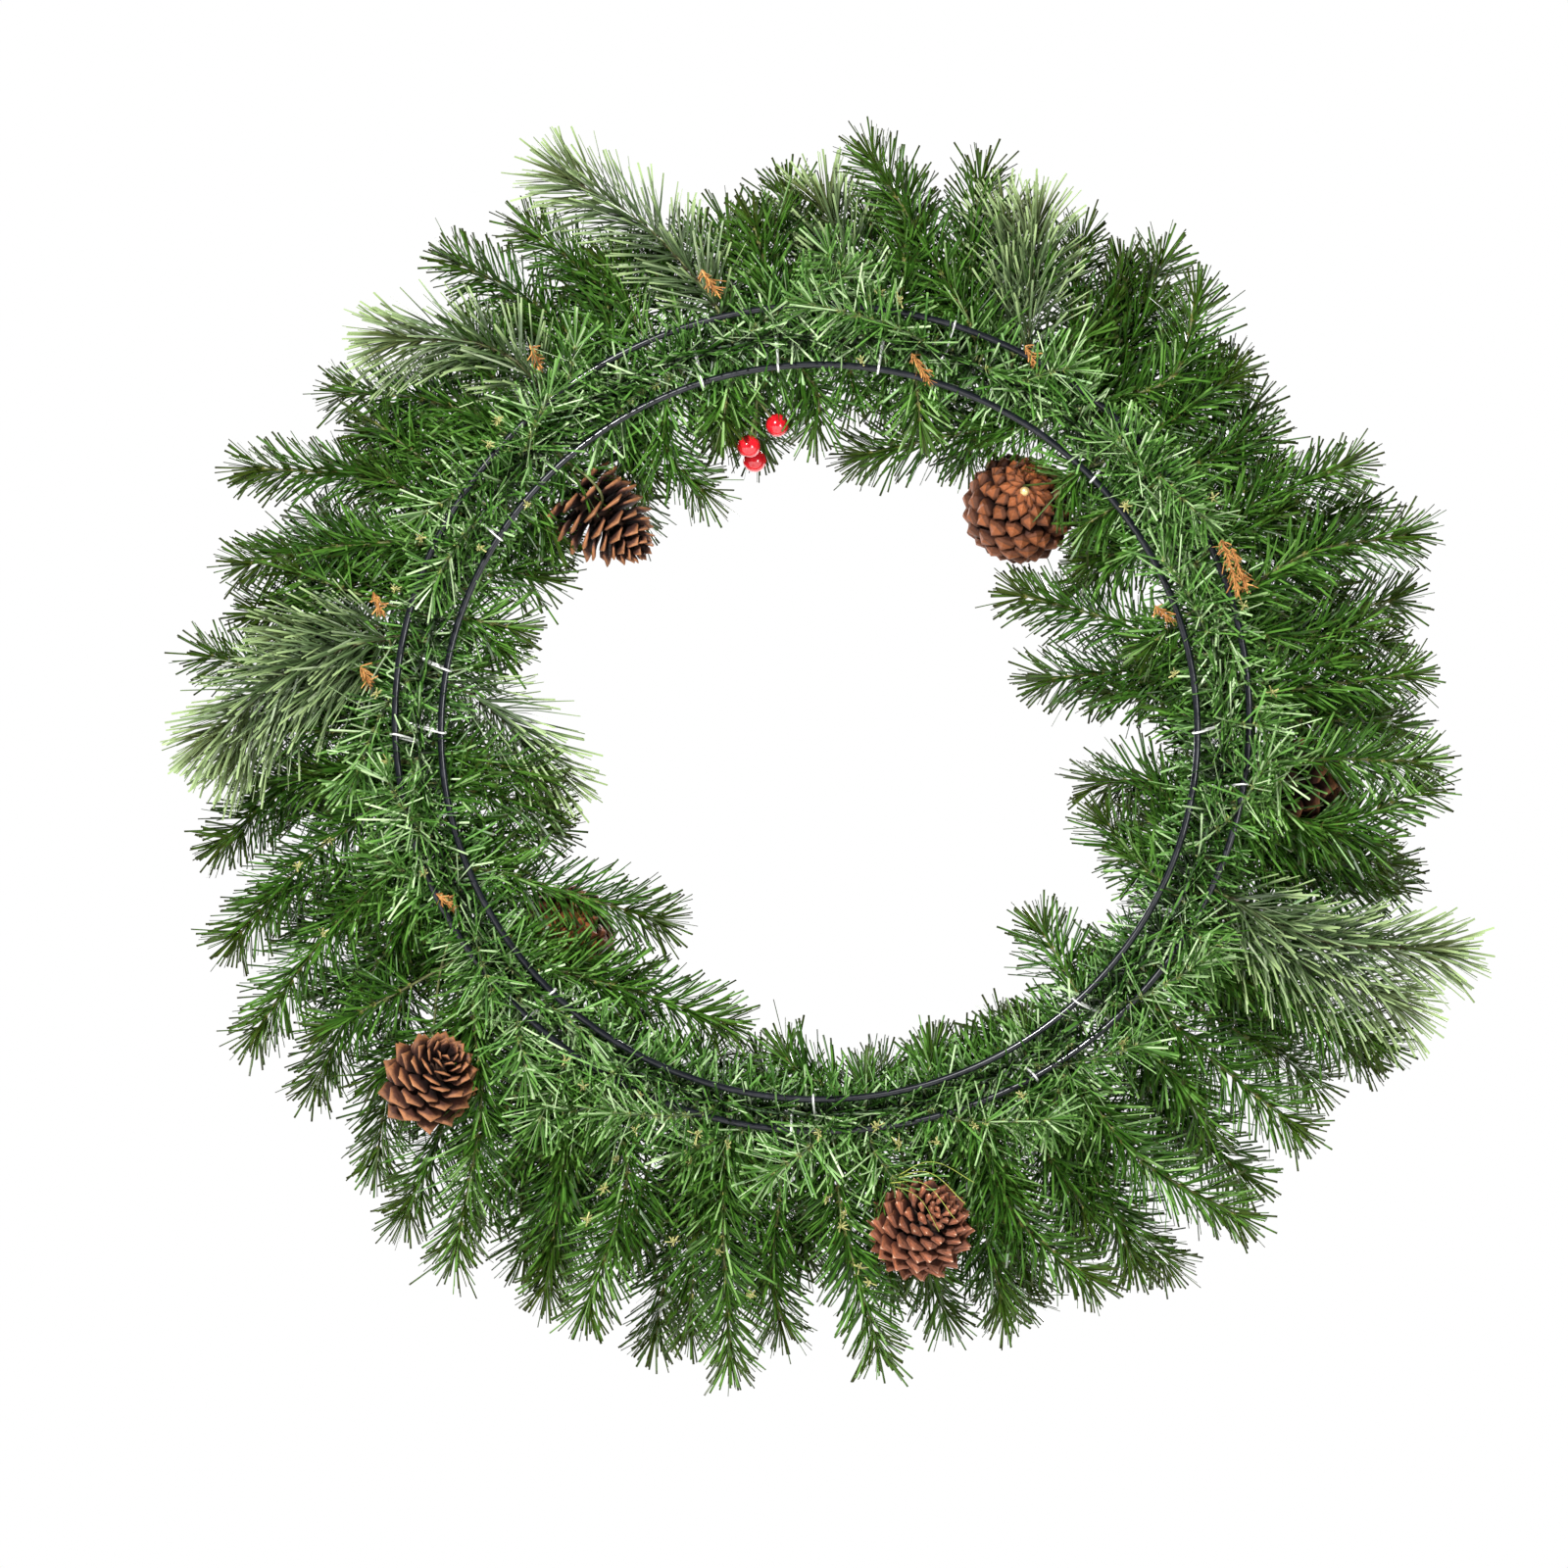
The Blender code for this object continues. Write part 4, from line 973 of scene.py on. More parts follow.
def present(
        name: str, mesh: bpy.types.Mesh, finishes: tuple[Finish, ...],
        nodes: tuple = ()) -> None:
    """Put a finished piece in the scene.

    Args:
        name: the piece's name.
        mesh: its mesh, in place.
        finishes: its finishes, in the order of its faces' indices.
        nodes: the CAD nodes that it stands for.
    """
    mesh.name = name
    for finish in finishes:
        mesh.materials.append(FINISHES.of(finish))
    piece = placed(name, mesh)
    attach(piece, "root")
    if nodes:
        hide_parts(*nodes)
    log.info("%s: %d faces", name, len(mesh.polygons))


class Habit(NamedTuple):
    """How needles stand on a wire: sizes in metres, leans from the wire in degrees."""

    per_metre: float
    length: float
    width: float
    lean_at_root: float
    lean_at_tip: float
    bare_root: float
    stray: float = 8.0
    bow: float = 0.12
    thickness: float = 0.00040
    spread: float = 0.08
    end_needles: int = 18
    knot: float = 0.0085
    droop: float = 0.0


PINE = Habit(
    per_metre=3000, length=0.0270, width=0.00145, lean_at_root=64, lean_at_tip=45,
    bare_root=0.012, stray=7.0, bow=0.06, spread=0.15)
CASHMERE = Habit(
    per_metre=2250, length=0.0430, width=0.00138, lean_at_root=52, lean_at_tip=34,
    bare_root=0.018, stray=6.0, bow=0.08, end_needles=20, droop=0.16)
FRINGE = Habit(
    per_metre=5600, length=0.0265, width=0.00140, lean_at_root=72, lean_at_tip=72,
    bare_root=0.0, stray=22.0, bow=0.04, spread=0.16)
SHORT_TWIG = Habit(
    per_metre=2150, length=0.0270, width=0.00142, lean_at_root=78, lean_at_tip=48,
    bare_root=0.004, stray=18.0, bow=0.04, spread=0.14, end_needles=6)
BACK_TWIG = Habit(
    per_metre=2700, length=0.0265, width=0.00155, lean_at_root=62, lean_at_tip=46,
    bare_root=0.012, stray=10.0, end_needles=14)
FAR_TWIG = Habit(
    per_metre=2400, length=0.0265, width=0.00155, lean_at_root=60, lean_at_tip=40,
    bare_root=0.052, stray=9.0, spread=0.14, end_needles=8)


class Clearing(NamedTuple):
    """A round place in the photograph where what lies at a depth shows through the needles."""

    middle: Pixel
    radius_px: float
    depth: float


CLEARINGS = (
    Clearing((1334, 808), 27, 0.060), Clearing((618, 530), 42, 0.022),
    Clearing((946, 1248), 42, 0.012), Clearing((438, 1090), 36, 0.002),
    Clearing((1026, 522), 50, 0.040), Clearing((1257, 576), 24, -0.012),
    Clearing((725, 288), 16, -0.012), Clearing((372, 687), 9, 0.000),
    Clearing((385, 614), 10, 0.000), Clearing((1184, 624), 11, 0.000),
    Clearing((452, 918), 9, 0.000), Clearing((545, 362), 9, 0.000),
    Clearing((938, 374), 14, 0.000),
)


OUTER_WINDOWS = (
    ((403, 620), (415, 790)), ((930, 322), (1055, 362)), ((1273, 700), (1272, 880)),
    ((1230, 1000), (1000, 1122)), ((690, 1126), (810, 1160)), ((520, 1010), (580, 1068)),
)


class Clippers:
    """What trims the needles: the wreath's box, and the rings and clearings that must show."""

    MARGIN = 0.012
    RING_REACH_PX = 5.5
    KEPT_OVER_RING = 0.20
    KEPT_OVER_CLEARING = 0.12
    SHORTEST_CUT = 0.25
    TESTED_FROM = 0.05
    RING_TESTS = 16
    CLEARING_TESTS = 8

    def __init__(self, random: np.random.Generator) -> None:
        """Measure the wreath's box and the stretches where the outer ring shows."""
        low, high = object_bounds()
        margin = (high - low) * self.MARGIN
        self.low = np.array(low - margin)
        self.high = np.array(high + margin)
        self.random = random
        self.windows = [
            tuple(sorted((OUTER_RING.angle_of(start), OUTER_RING.angle_of(end))))
            for start, end in OUTER_WINDOWS]

    def trim(self, stamps: Stamps) -> Stamps:
        """Cut needles at the box and thin out those that cross in front of a ring."""
        tips = stamps.points(1.0)
        reach = tips - stamps.roots
        reach = np.where(np.abs(reach) < TINY, TINY, reach)
        room = np.where(reach > 0, self.high - stamps.roots, self.low - stamps.roots)
        stamps = stamps.cut(np.clip((room / reach).min(axis=1), self.SHORTEST_CUT, 1.0))
        chance = self.random.random(len(stamps.roots))
        over_ring = self.crosses(stamps, INNER_RING)
        over_ring |= self.crosses(stamps, OUTER_RING) & self.in_window(stamps)
        over_clearing = self.covers(stamps)
        return stamps.kept(
            (~over_ring | (chance < self.KEPT_OVER_RING))
            & (~over_clearing | (chance < self.KEPT_OVER_CLEARING)))

    def covers(self, stamps: Stamps) -> np.ndarray:
        """Tell of each needle whether it lies over a clearing."""
        found = np.zeros(len(stamps.roots), bool)
        for share in np.linspace(self.TESTED_FROM, 1.0, self.CLEARING_TESTS):
            points = stamps.points(share)
            columns, rows = pixels_of(points)
            for clearing in CLEARINGS:
                away = np.hypot(columns - clearing.middle[0], rows - clearing.middle[1])
                found |= (away < clearing.radius_px) & (points[:, 1] < clearing.depth)
        return found

    def crosses(self, stamps: Stamps, ring: Oval) -> np.ndarray:
        """Tell of each needle whether it passes in front of a ring or through it."""
        found = np.zeros(len(stamps.roots), bool)
        for share in np.linspace(self.TESTED_FROM, 1.0, self.RING_TESTS):
            points = stamps.points(share)
            near = np.abs(ring.offsets(points)) < self.RING_REACH_PX
            found |= near & (points[:, 1] < RING_WIRE_RADIUS)
        return found

    def in_window(self, stamps: Stamps) -> np.ndarray:
        """Tell of each needle whether it is where the outer ring shows."""
        angles = OUTER_RING.angles(*pixels_of(stamps.points(0.5)))
        found = np.zeros(len(angles), bool)
        for start, end in self.windows:
            if end - start > pi:
                found |= (angles < start) | (angles > end)
            else:
                found |= (angles > start) & (angles < end)
        return found


def stand_needles(
        path: Path, habit: Habit, begin: float, random: np.random.Generator,
        both_ways: bool = False) -> Stamps:
    """Stand needles all round a wire.

    Args:
        path: the wire's line.
        habit: how its needles stand.
        begin: the length at which they begin.
        random: the source of their small differences.
        both_ways: whether they lean to either end, as on a garland.

    Returns:
        The needles' places.
    """
    run = path.length - begin
    count = max(int(run * habit.per_metre), 1)
    ends = 0 if both_ways else habit.end_needles
    share = np.concatenate([
        (np.arange(count) + random.random(count)) / count,
        1 - END_REACH * random.random(ends) ** 2])
    lengths = begin + run * share
    lengths += (np.round(lengths / habit.knot) * habit.knot - lengths) * KNOT_PULL
    axes = path.axes_at(lengths)
    if both_ways:
        axes = axes * np.where(random.random(count) < 0.5, 1.0, -1.0)[:, None]
    lean = habit.lean_at_root + (habit.lean_at_tip - habit.lean_at_root) * share ** LEAN_POWER
    lean = lean + random.normal(0.0, habit.stray, count + ends)
    if ends:
        lean[count:] = random.uniform(END_LEAN, habit.lean_at_tip, ends)
    lean = np.radians(np.clip(lean, LEAST_LEAN, GREATEST_LEAN))[:, None]
    turn = np.arange(count + ends) * GOLDEN_ANGLE + random.random(count + ends) * TURN_STRAY
    turn = turn[:, None]
    across, up = crosswise(axes)
    outwards = np.cos(turn) * across + np.sin(turn) * up
    ways = np.cos(lean) * axes + np.sin(lean) * outwards
    size = habit.length * (1 + random.normal(0.0, habit.spread, count + ends))
    size = size * np.interp(share, (0.0, SHORTER_FROM, 1.0), (1.0, 1.0, SHORTEST))
    roll = random.uniform(0.0, tau, count + ends)[:, None]
    flat, thick = crosswise(ways)
    side = np.cos(roll) * flat + np.sin(roll) * thick
    bow = axes * BOW_AHEAD - outwards * BOW_INWARDS
    bow = bow + random.normal(0.0, BOW_STRAY, (count + ends, 3))
    bow = bow - ways * (bow * ways).sum(axis=1, keepdims=True)
    bow = bow * habit.bow * random.random((count + ends, 1)) * size[:, None]
    bow[:, 2] -= habit.droop * size * random.random(count + ends)
    roots = path.at(lengths)
    # Needles whose middles lie deep in the wreath get darker tints: painted shade.
    middles = roots[:, 1] + ways[:, 1] * size / 2
    inside = np.clip(1 - np.abs(middles - INSIDE_DEPTH) / INSIDE_REACH, 0.0, 1.0)
    return Stamps(
        roots=roots, across=side * habit.width,
        up=np.cross(ways, side) * habit.thickness, ways=ways * size[:, None], bows=bow,
        tints=random.random(count + ends) * (1 - PAINTED_INSIDE_SHADE * inside), reaches=share)


class Foliage(Enum):
    """Kinds of foliage: needles, wire gauge, finishes, slot, and whether a needle is bent."""

    PINE = (PINE, TWIG_GAUGE, PINE_FILM, TWIG_WIRE, "pine_needles")
    CASHMERE = (CASHMERE, TWIG_GAUGE, CASHMERE_FILM, TWIG_WIRE, "cashmere_needles", True)
    FRINGE = (FRINGE, CORE_GAUGE, FRINGE_FILM, CORE_WIRE, "fringe_needles")
    FRONT = (SHORT_TWIG, TWIG_GAUGE, SHORT_TWIG_FILM, SHORT_WIRE, "fringe_needles")
    BACK = (BACK_TWIG, BACK_GAUGE, PINE_FILM, TWIG_WIRE, "pine_needles")
    FAR = (FAR_TWIG, BACK_GAUGE, PINE_FILM, TWIG_WIRE, "pine_needles")

    def __init__(
            self, habit: Habit, gauge: Gauge, film: Film, wire: TwistedWire, slot: str,
            bent: bool = False) -> None:
        """Name the parts of the kind."""
        self.habit = habit
        self.gauge = gauge
        self.film = film
        self.wire = wire
        self.slot = slot
        self.bent = bent


class Growth:
    """The wires of one piece, and the needles that stand on them."""

    def __init__(self, kind: Foliage, clippers: Clippers) -> None:
        """Start with no wire and no needle."""
        self.kind = kind
        self.clippers = clippers
        self.wires = WireWork()
        self.needles: list[Stamps] = []

    def add(self, path: Path, tint: float, both_ways: bool = False) -> None:
        """Draw a wire and stand its needles on it."""
        habit, random = self.kind.habit, self.clippers.random
        self.wires.draw(path, self.kind.gauge, tint, material=1)
        self.needles.append(stand_needles(path, habit, habit.bare_root, random, both_ways))

    def dress(self, name: str, cuts: dict, nodes: tuple = (), painted_shade: float = 1.0) -> None:
        """Trim the needles, darken their tints by a painted shade and give the piece its finishes.
        """
        stamps = self.clippers.trim(gather(self.needles))
        stamps = stamps._replace(tints=stamps.tints * painted_shade)
        needles = stamp(cuts[self.kind.bent], stamps, "needles")
        mesh = joined(name, [needles, self.wires.mesh("wires")])
        present(name, mesh, (self.kind.film, self.kind.wire), nodes)


def leave_garland(root: Pixel, towards: Vector) -> tuple[Vector, Vector]:
    """Return where a wire leaves the garland's core, and its way out of it."""
    angle = GARLAND.angle_of(root)
    core = GARLAND.point(angle, GARLAND_DEPTH)
    tangent = (GARLAND.point(angle + TANGENT_STEP, GARLAND_DEPTH) - core).normalized()
    outwards = towards - core
    outwards = (outwards - tangent * outwards.dot(tangent)).normalized()
    return core, outwards


@dataclass(frozen=True)
class Twig:
    """One twig: the pixels that it bends through and ends at, and its depth there."""

    bend: Pixel
    tip: Pixel
    depth: float

    def from_garland(self, root: Pixel) -> Path:
        """Lead the twig from a root on the garland's core."""
        towards = at_pixel(self.bend, self.depth * HEADING_DEPTH_SHARE)
        return self.path(*leave_garland(root, towards))

    def path(self, start: Vector, outwards: Vector) -> Path:
        """Lead the twig from its root through its bend to its tip."""
        bend_depth = GARLAND_DEPTH + (self.depth - GARLAND_DEPTH) * BEND_DEPTH_SHARE
        return Path([
            start, start + outwards * STRAIGHT_ROOT, at_pixel(self.bend, bend_depth),
            at_pixel(self.tip, self.depth)])


@dataclass(frozen=True)
class Crown:
    """A twig over the garland: pixels outwards of it, turn along it, how far below the face."""

    outwards: float
    along: float
    below_face: float

    def twig(self, root: Pixel, habit: Habit) -> Twig:
        """Lead the twig that a spray sends up to the display side."""
        turn = GARLAND.angle_of(root)
        bend_turn = turn + self.along * CROWN_BEND_SHARE
        end_needle = habit.length * END_NEEDLE_SHARE
        return Twig(
            GARLAND.pixel(bend_turn, self.outwards * CROWN_BEND_SHARE),
            GARLAND.pixel(turn + self.along, self.outwards),
            DISPLAY_FACE - self.below_face - end_needle)


CROWNS = (Crown(-22, 0.045, 0.0), Crown(38, -0.045, 0.010), Crown(4, 0.020, 0.004))


@dataclass(frozen=True)
class Spray:
    """Twigs that leave the garland as one: the first from the core, the rest off that one."""

    name: str
    kind: Foliage
    root: Pixel
    twigs: tuple[Twig, ...]
    # Scales the needles' tints; below one it is painted shade on a spray deep in the wreath.
    painted_shade: float = 1.0

    def grows_inwards(self) -> bool:
        """Tell whether the spray's first twig ends inside the garland's ring."""
        across, up = GARLAND.shares(*self.twigs[0].tip)
        return across * across + up * up < 1

    def with_crown(self, crown: Crown) -> "Spray":
        """Return the spray with its twig over the garland."""
        return replace(self, twigs=(*self.twigs, crown.twig(self.root, self.kind.habit)))

    def paths(self) -> list[Path]:
        """Lead all the spray's twigs."""
        main = self.twigs[0].from_garland(self.root)
        found = [main]
        for index, twig in enumerate(self.twigs[1:]):
            length = np.array([FIRST_FORK + FORK_SPACING * index])
            fork = Vector(main.at(length)[0])
            axis = Vector(main.axes_at(length)[0])
            heading = at_pixel(twig.bend, twig.depth) - fork
            heading = (heading - axis * heading.dot(axis)).normalized()
            found.append(twig.path(fork, heading))
        return found

    def dress(self, cuts: dict, clippers: Clippers) -> None:
        """Build the spray: its twisted wires, then the needles that stand on them."""
        growth = Growth(self.kind, clippers)
        for path in self.paths():
            growth.add(path, clippers.random.random())
        growth.dress(f"{self.name}_spray", cuts, (self.name,), self.painted_shade)


# Each row: a spray's name, root and tint scale, where SHADED is painted shade, then the bend, tip
# and depth of each twig
CASHMERE_ROWS = (
    ("cashmere_top_left", (748, 351), PLAIN, ((668, 238), (582, 181), 0.022)),
    ("cashmere_upper_left", (583, 432), PLAIN, ((508, 357), (406, 344), 0.016)),
    ("cashmere_left", (438, 652), PLAIN, ((303, 680), (220, 750), 0.016),
     ((352, 640), (300, 648), 0.030), ((302, 710), (244, 768), 0.026)),
    ("cashmere_right", (1236, 905), PLAIN, ((1332, 956), (1462, 970), 0.012),
     ((1325, 980), (1420, 1020), 0.024)),
    ("cashmere_top_right", (1040, 390), PLAIN, ((1053, 290), (1057, 232), 0.038),
     ((1035, 280), (1026, 222), 0.052)),
    ("cashmere_top", (880, 345), PLAIN, ((864, 268), (842, 204), 0.050)),
    ("cashmere_inner_left", (430, 690), PLAIN, ((500, 722), (558, 786), 0.046)),
)

PINE_ROWS = (
    ("pine_top_left", (638, 391), PLAIN, ((610, 290), (540, 232), 0.052),
     ((555, 315), (462, 262), 0.074)),
    ("pine_upper_left", (540, 472), PLAIN, ((400, 482), (258, 476), 0.055),
     ((440, 408), (352, 398), 0.048)),
    ("pine_left_high", (470, 565), PLAIN, ((345, 556), (252, 574), 0.048),
     ((345, 600), (258, 626), 0.070)),
    ("pine_left_low", (428, 778), SHADED, ((310, 790), (222, 862), 0.068),
     ((315, 875), (236, 960), 0.034), ((325, 705), (212, 668), 0.086)),
    ("pine_lower_left_high", (445, 860), PLAIN, ((335, 950), (260, 1052), 0.040),
     ((365, 1015), (318, 1108), 0.068), ((410, 1010), (380, 1190), 0.092)),
    ("pine_lower_left_low", (500, 970), PLAIN, ((490, 1130), (464, 1280), 0.024),
     ((450, 1150), (412, 1240), 0.064)),
    ("pine_bottom_left_outer", (610, 1070), PLAIN, ((640, 1190), (597, 1338), 0.020),
     ((555, 1190), (533, 1285), 0.084)),
    ("pine_bottom_left_inner", (745, 1128), PLAIN, ((738, 1250), (745, 1386), 0.020),
     ((692, 1240), (668, 1366), 0.068), ((775, 1250), (796, 1350), 0.052)),
    ("pine_bottom", (850, 1138), PLAIN, ((860, 1245), (896, 1376), 0.024),
     ((925, 1260), (966, 1344), 0.086)),
    ("pine_bottom_right_inner", (985, 1112), PLAIN, ((1040, 1245), (1113, 1306), 0.034),
     ((985, 1265), (1042, 1330), 0.084)),
    ("pine_bottom_right_outer", (1075, 1065), PLAIN, ((1160, 1180), (1262, 1240), 0.020),
     ((1115, 1205), (1190, 1288), 0.064)),
    ("pine_lower_right_low", (1150, 1000), PLAIN, ((1225, 1070), (1322, 1150), 0.030),
     ((1190, 1120), (1275, 1204), 0.080)),
    ("pine_lower_right_high", (1195, 935), PLAIN, ((1305, 1005), (1410, 1066), 0.044),
     ((1275, 1045), (1345, 1106), 0.084)),
    ("pine_right_middle_low", (1246, 790), PLAIN, ((1350, 842), (1450, 806), 0.030),
     ((1345, 775), (1450, 777), 0.010)),
    ("pine_right_low", (1243, 830), PLAIN, ((1330, 868), (1420, 882), 0.060),
     ((1337, 897), (1426, 904), 0.100)),
    ("pine_right_middle", (1248, 715), PLAIN, ((1345, 700), (1438, 688), 0.040),
     ((1330, 728), (1430, 742), 0.084)),
    ("pine_right_high", (1232, 625), PLAIN, ((1330, 566), (1435, 545), 0.034),
     ((1325, 630), (1432, 610), 0.074)),
    ("pine_upper_right_low", (1205, 562), PLAIN, ((1285, 512), (1374, 474), 0.040),
     ((1300, 535), (1395, 520), 0.084)),
    ("pine_upper_right_high", (1165, 495), PLAIN, ((1262, 452), (1277, 412), 0.060),
     ((1205, 420), (1232, 385), 0.080)),
    ("pine_top_right", (1110, 430), PLAIN, ((1095, 305), (1106, 240), 0.080),
     ((1158, 330), (1190, 258), 0.078), ((1195, 385), (1222, 305), 0.022)),
    ("pine_top", (992, 374), PLAIN, ((954, 265), (890, 158), 0.034),
     ((990, 265), (1003, 178), 0.064), ((935, 270), (926, 195), 0.084)),
    ("pine_top_middle", (815, 345), PLAIN, ((822, 265), (804, 192), 0.070),
     ((785, 295), (768, 255), 0.036)),
    ("pine_inner_top_right", (1085, 415), SHADED, ((985, 440), (882, 463), 0.050)),
    ("pine_inner_top", (795, 352), PLAIN, ((770, 415), (775, 446), 0.060),
     ((835, 405), (832, 430), 0.030)),
    ("pine_inner_top_left", (680, 381), PLAIN, ((680, 460), (715, 498), 0.040),
     ((635, 475), (648, 528), 0.074)),
    ("pine_inner_left_high", (456, 600), PLAIN, ((510, 582), (548, 588), 0.046),
     ((480, 640), (510, 660), 0.028)),
    ("pine_inner_left_low", (455, 892), PLAIN, ((580, 912), (672, 940), 0.051)),
    ("pine_inner_bottom_left", (522, 1000), PLAIN, ((620, 1005), (742, 1045), 0.030)),
    ("pine_inner_bottom", (876, 1137), PLAIN, ((895, 1112), (905, 1100), 0.045),
     ((815, 1094), (800, 1076), 0.030)),
    ("pine_inner_bottom_right", (1110, 1030), PLAIN, ((1085, 985), (1064, 950), 0.040),
     ((1044, 1066), (1020, 1054), 0.060)),
    ("pine_inner_right_low", (1228, 864), SHADED, ((1180, 800), (1125, 798), 0.060),
     ((1165, 875), (1132, 842), 0.034)),
    ("pine_inner_right_high", (1245, 665), SHADED, ((1135, 632), (1046, 607), 0.045),
     ((1140, 685), (1068, 692), 0.070)),
)

SPRAYS = tuple(
    Spray(name, kind, root, tuple(Twig(*twig) for twig in twigs), painted_shade)
    for kind, rows in ((Foliage.CASHMERE, CASHMERE_ROWS), (Foliage.PINE, PINE_ROWS))
    for name, root, painted_shade, *twigs in rows)


@dataclass(frozen=True)
class TwigRow:
    """A row of short twigs set round the garland by a rule, to fill it between the sprays."""

    name: str
    kind: Foliage
    count: int
    reach_px: float
    depths: tuple[float, ...]
    sway: float
    reach_spread_px: float = 14.0
    lift: float = 0.0
    pieces: int = 3
    turn_stray: float = 0.3
    bend_sway: float = 0.35
    bend_reach: float = 0.5

    def twig(self, index: int, random: np.random.Generator) -> tuple[Pixel, Twig]:
        """Return one twig of the row and the pixel of its root."""
        stray = random.uniform(-self.turn_stray, self.turn_stray)
        turn = tau * (index + stray) / self.count
        sway = self.sway * random.uniform(-1.0, 1.0)
        reach = self.reach_px * (1 + self.lift * sin(turn))
        reach += random.normal(0.0, self.reach_spread_px)
        depth = self.depths[index % len(self.depths)]
        root = GARLAND.pixel(turn)
        bend = GARLAND.pixel(turn + sway * self.bend_sway, reach * self.bend_reach)
        return root, Twig(bend, GARLAND.pixel(turn + sway, reach), depth)

    def dress(self, cuts: dict, clippers: Clippers) -> None:
        """Build the row in a few pieces and give them their finishes."""
        twigs = [self.twig(index, clippers.random) for index in range(self.count)]
        if self.kind is Foliage.FRONT:
            twigs = [pair for pair in twigs if not hides_a_spray(pair[1])]
        for piece in range(self.pieces):
            first = piece * len(twigs) // self.pieces
            last = (piece + 1) * len(twigs) // self.pieces
            name = f"{self.name}_{piece + 1}"
            dress_twigs(name, self.kind, twigs[first:last], cuts, clippers)


OPEN_SPRAYS = ((352, 660, 75), (690, 275, 55), (512, 372, 50), (1300, 930, 60))


def hides_a_spray(twig: Twig) -> bool:
    """Tell whether a twig ends over a cashmere spray."""
    return any(
        np.hypot(twig.tip[0] - column, twig.tip[1] - row) < radius
        for column, row, radius in OPEN_SPRAYS)


def dress_twigs(
        name: str, kind: Foliage, twigs: list[tuple[Pixel, Twig]], cuts: dict,
        clippers: Clippers) -> None:
    """Build some short twigs as one piece and give it its finishes."""
    growth = Growth(kind, clippers)
    for root, twig in twigs:
        growth.add(twig.from_garland(root), clippers.random.random())
    growth.dress(name, cuts)


TWIG_ROWS = (
    TwigRow(
        "front_twigs", Foliage.FRONT, count=48, reach_px=54.0,
        depths=(-0.010, 0.000, -0.014, 0.006), sway=0.30, reach_spread_px=30.0),
    TwigRow(
        "outer_twigs", Foliage.BACK, count=60, reach_px=110.0, depths=(0.055, 0.030, 0.080),
        sway=0.05, reach_spread_px=18.0),
    TwigRow(
        "far_twigs", Foliage.FAR, count=64, reach_px=154.0, depths=(0.050, 0.070, 0.034),
        sway=0.04, reach_spread_px=12.0, lift=-0.18),
    TwigRow(
        "inner_twigs", Foliage.BACK, count=38, reach_px=-55.0, depths=(0.030, 0.050, 0.016),
        sway=0.08, reach_spread_px=10.0, lift=0.35),
    TwigRow(
        "deep_twigs", Foliage.BACK, count=66, reach_px=8.0, depths=(0.040, 0.064, 0.086),
        sway=0.16, reach_spread_px=26.0),
)

# Each row: the root, bend, tip and depth of a twig
FILL_ROWS = (
    ((436, 800), (500, 812), (562, 822), 0.045),
    ((440, 840), (505, 850), (560, 846), 0.060),
    ((432, 770), (490, 776), (545, 790), 0.030),
    ((1190, 540), (1146, 566), (1112, 592), 0.050),
    ((1175, 520), (1136, 526), (1112, 538), 0.064),
    ((1240, 698), (1185, 704), (1130, 706), 0.056),
    ((545, 455), (450, 442), (376, 440), 0.050),
    ((1190, 960), (1320, 1030), (1396, 1080), 0.060),
    ((1135, 462), (1105, 478), (1084, 492), 0.008),
    ((1165, 500), (1132, 520), (1104, 538), 0.012),
    ((905, 345), (905, 380), (902, 408), 0.044),
    ((950, 355), (946, 382), (940, 410), 0.056),
    ((735, 360), (738, 400), (740, 442), 0.050),
    ((545, 470), (568, 488), (585, 505), 0.055),
    ((520, 520), (545, 535), (562, 552), 0.050),
    ((700, 1120), (712, 1095), (720, 1078), 0.040),
    ((960, 1125), (958, 1100), (955, 1080), 0.046),
    ((545, 1035), (540, 1110), (530, 1210), 0.060),
    ((590, 1060), (570, 1180), (560, 1290), 0.050),
    ((800, 1135), (812, 1200), (822, 1290), 0.055),
    ((1035, 1095), (1070, 1180), (1100, 1260), 0.060),
    ((600, 1065), (575, 1190), (556, 1318), 0.045),
    ((1070, 1070), (1112, 1190), (1160, 1290), 0.050),
    ((975, 1115), (1000, 1230), (1026, 1340), 0.050),
    ((720, 1125), (708, 1250), (704, 1358), 0.050),
    ((1248, 650), (1340, 650), (1416, 656), 0.050),
    ((1118, 420), (1128, 340), (1150, 270), 0.070),
    ((500, 960), (585, 982), (655, 998), 0.045),
)

FILL_TWIGS = [(root, Twig(bend, tip, depth)) for root, bend, tip, depth in FILL_ROWS]


@dataclass(frozen=True)
class Garland:
    """The garland: a twisted wire core in lengths, with short needles all round."""

    pieces: int = 5
    spans: int = 8
    first_joint: float = 0.25
    joint_gap: float = 0.0003
    tint: float = 0.5

    def path(self, index: int) -> Path:
        """Return the line of one length of the core."""
        knots = []
        for step in range(self.spans + 1):
            turns = (index + self.first_joint + step / self.spans) / self.pieces
            knots.append(GARLAND.point(tau * turns, GARLAND_DEPTH))
        knots[-1] -= (knots[-1] - knots[-2]).normalized() * self.joint_gap
        return Path(knots)

    def dress(self, cuts: dict, clippers: Clippers) -> None:
        """Build each length and give it its finishes."""
        for index in range(self.pieces):
            growth = Growth(Foliage.FRINGE, clippers)
            growth.add(self.path(index), self.tint, both_ways=True)
            name = f"garland_{index + 1}"
            growth.dress(f"{name}_fringe", cuts, (name,))


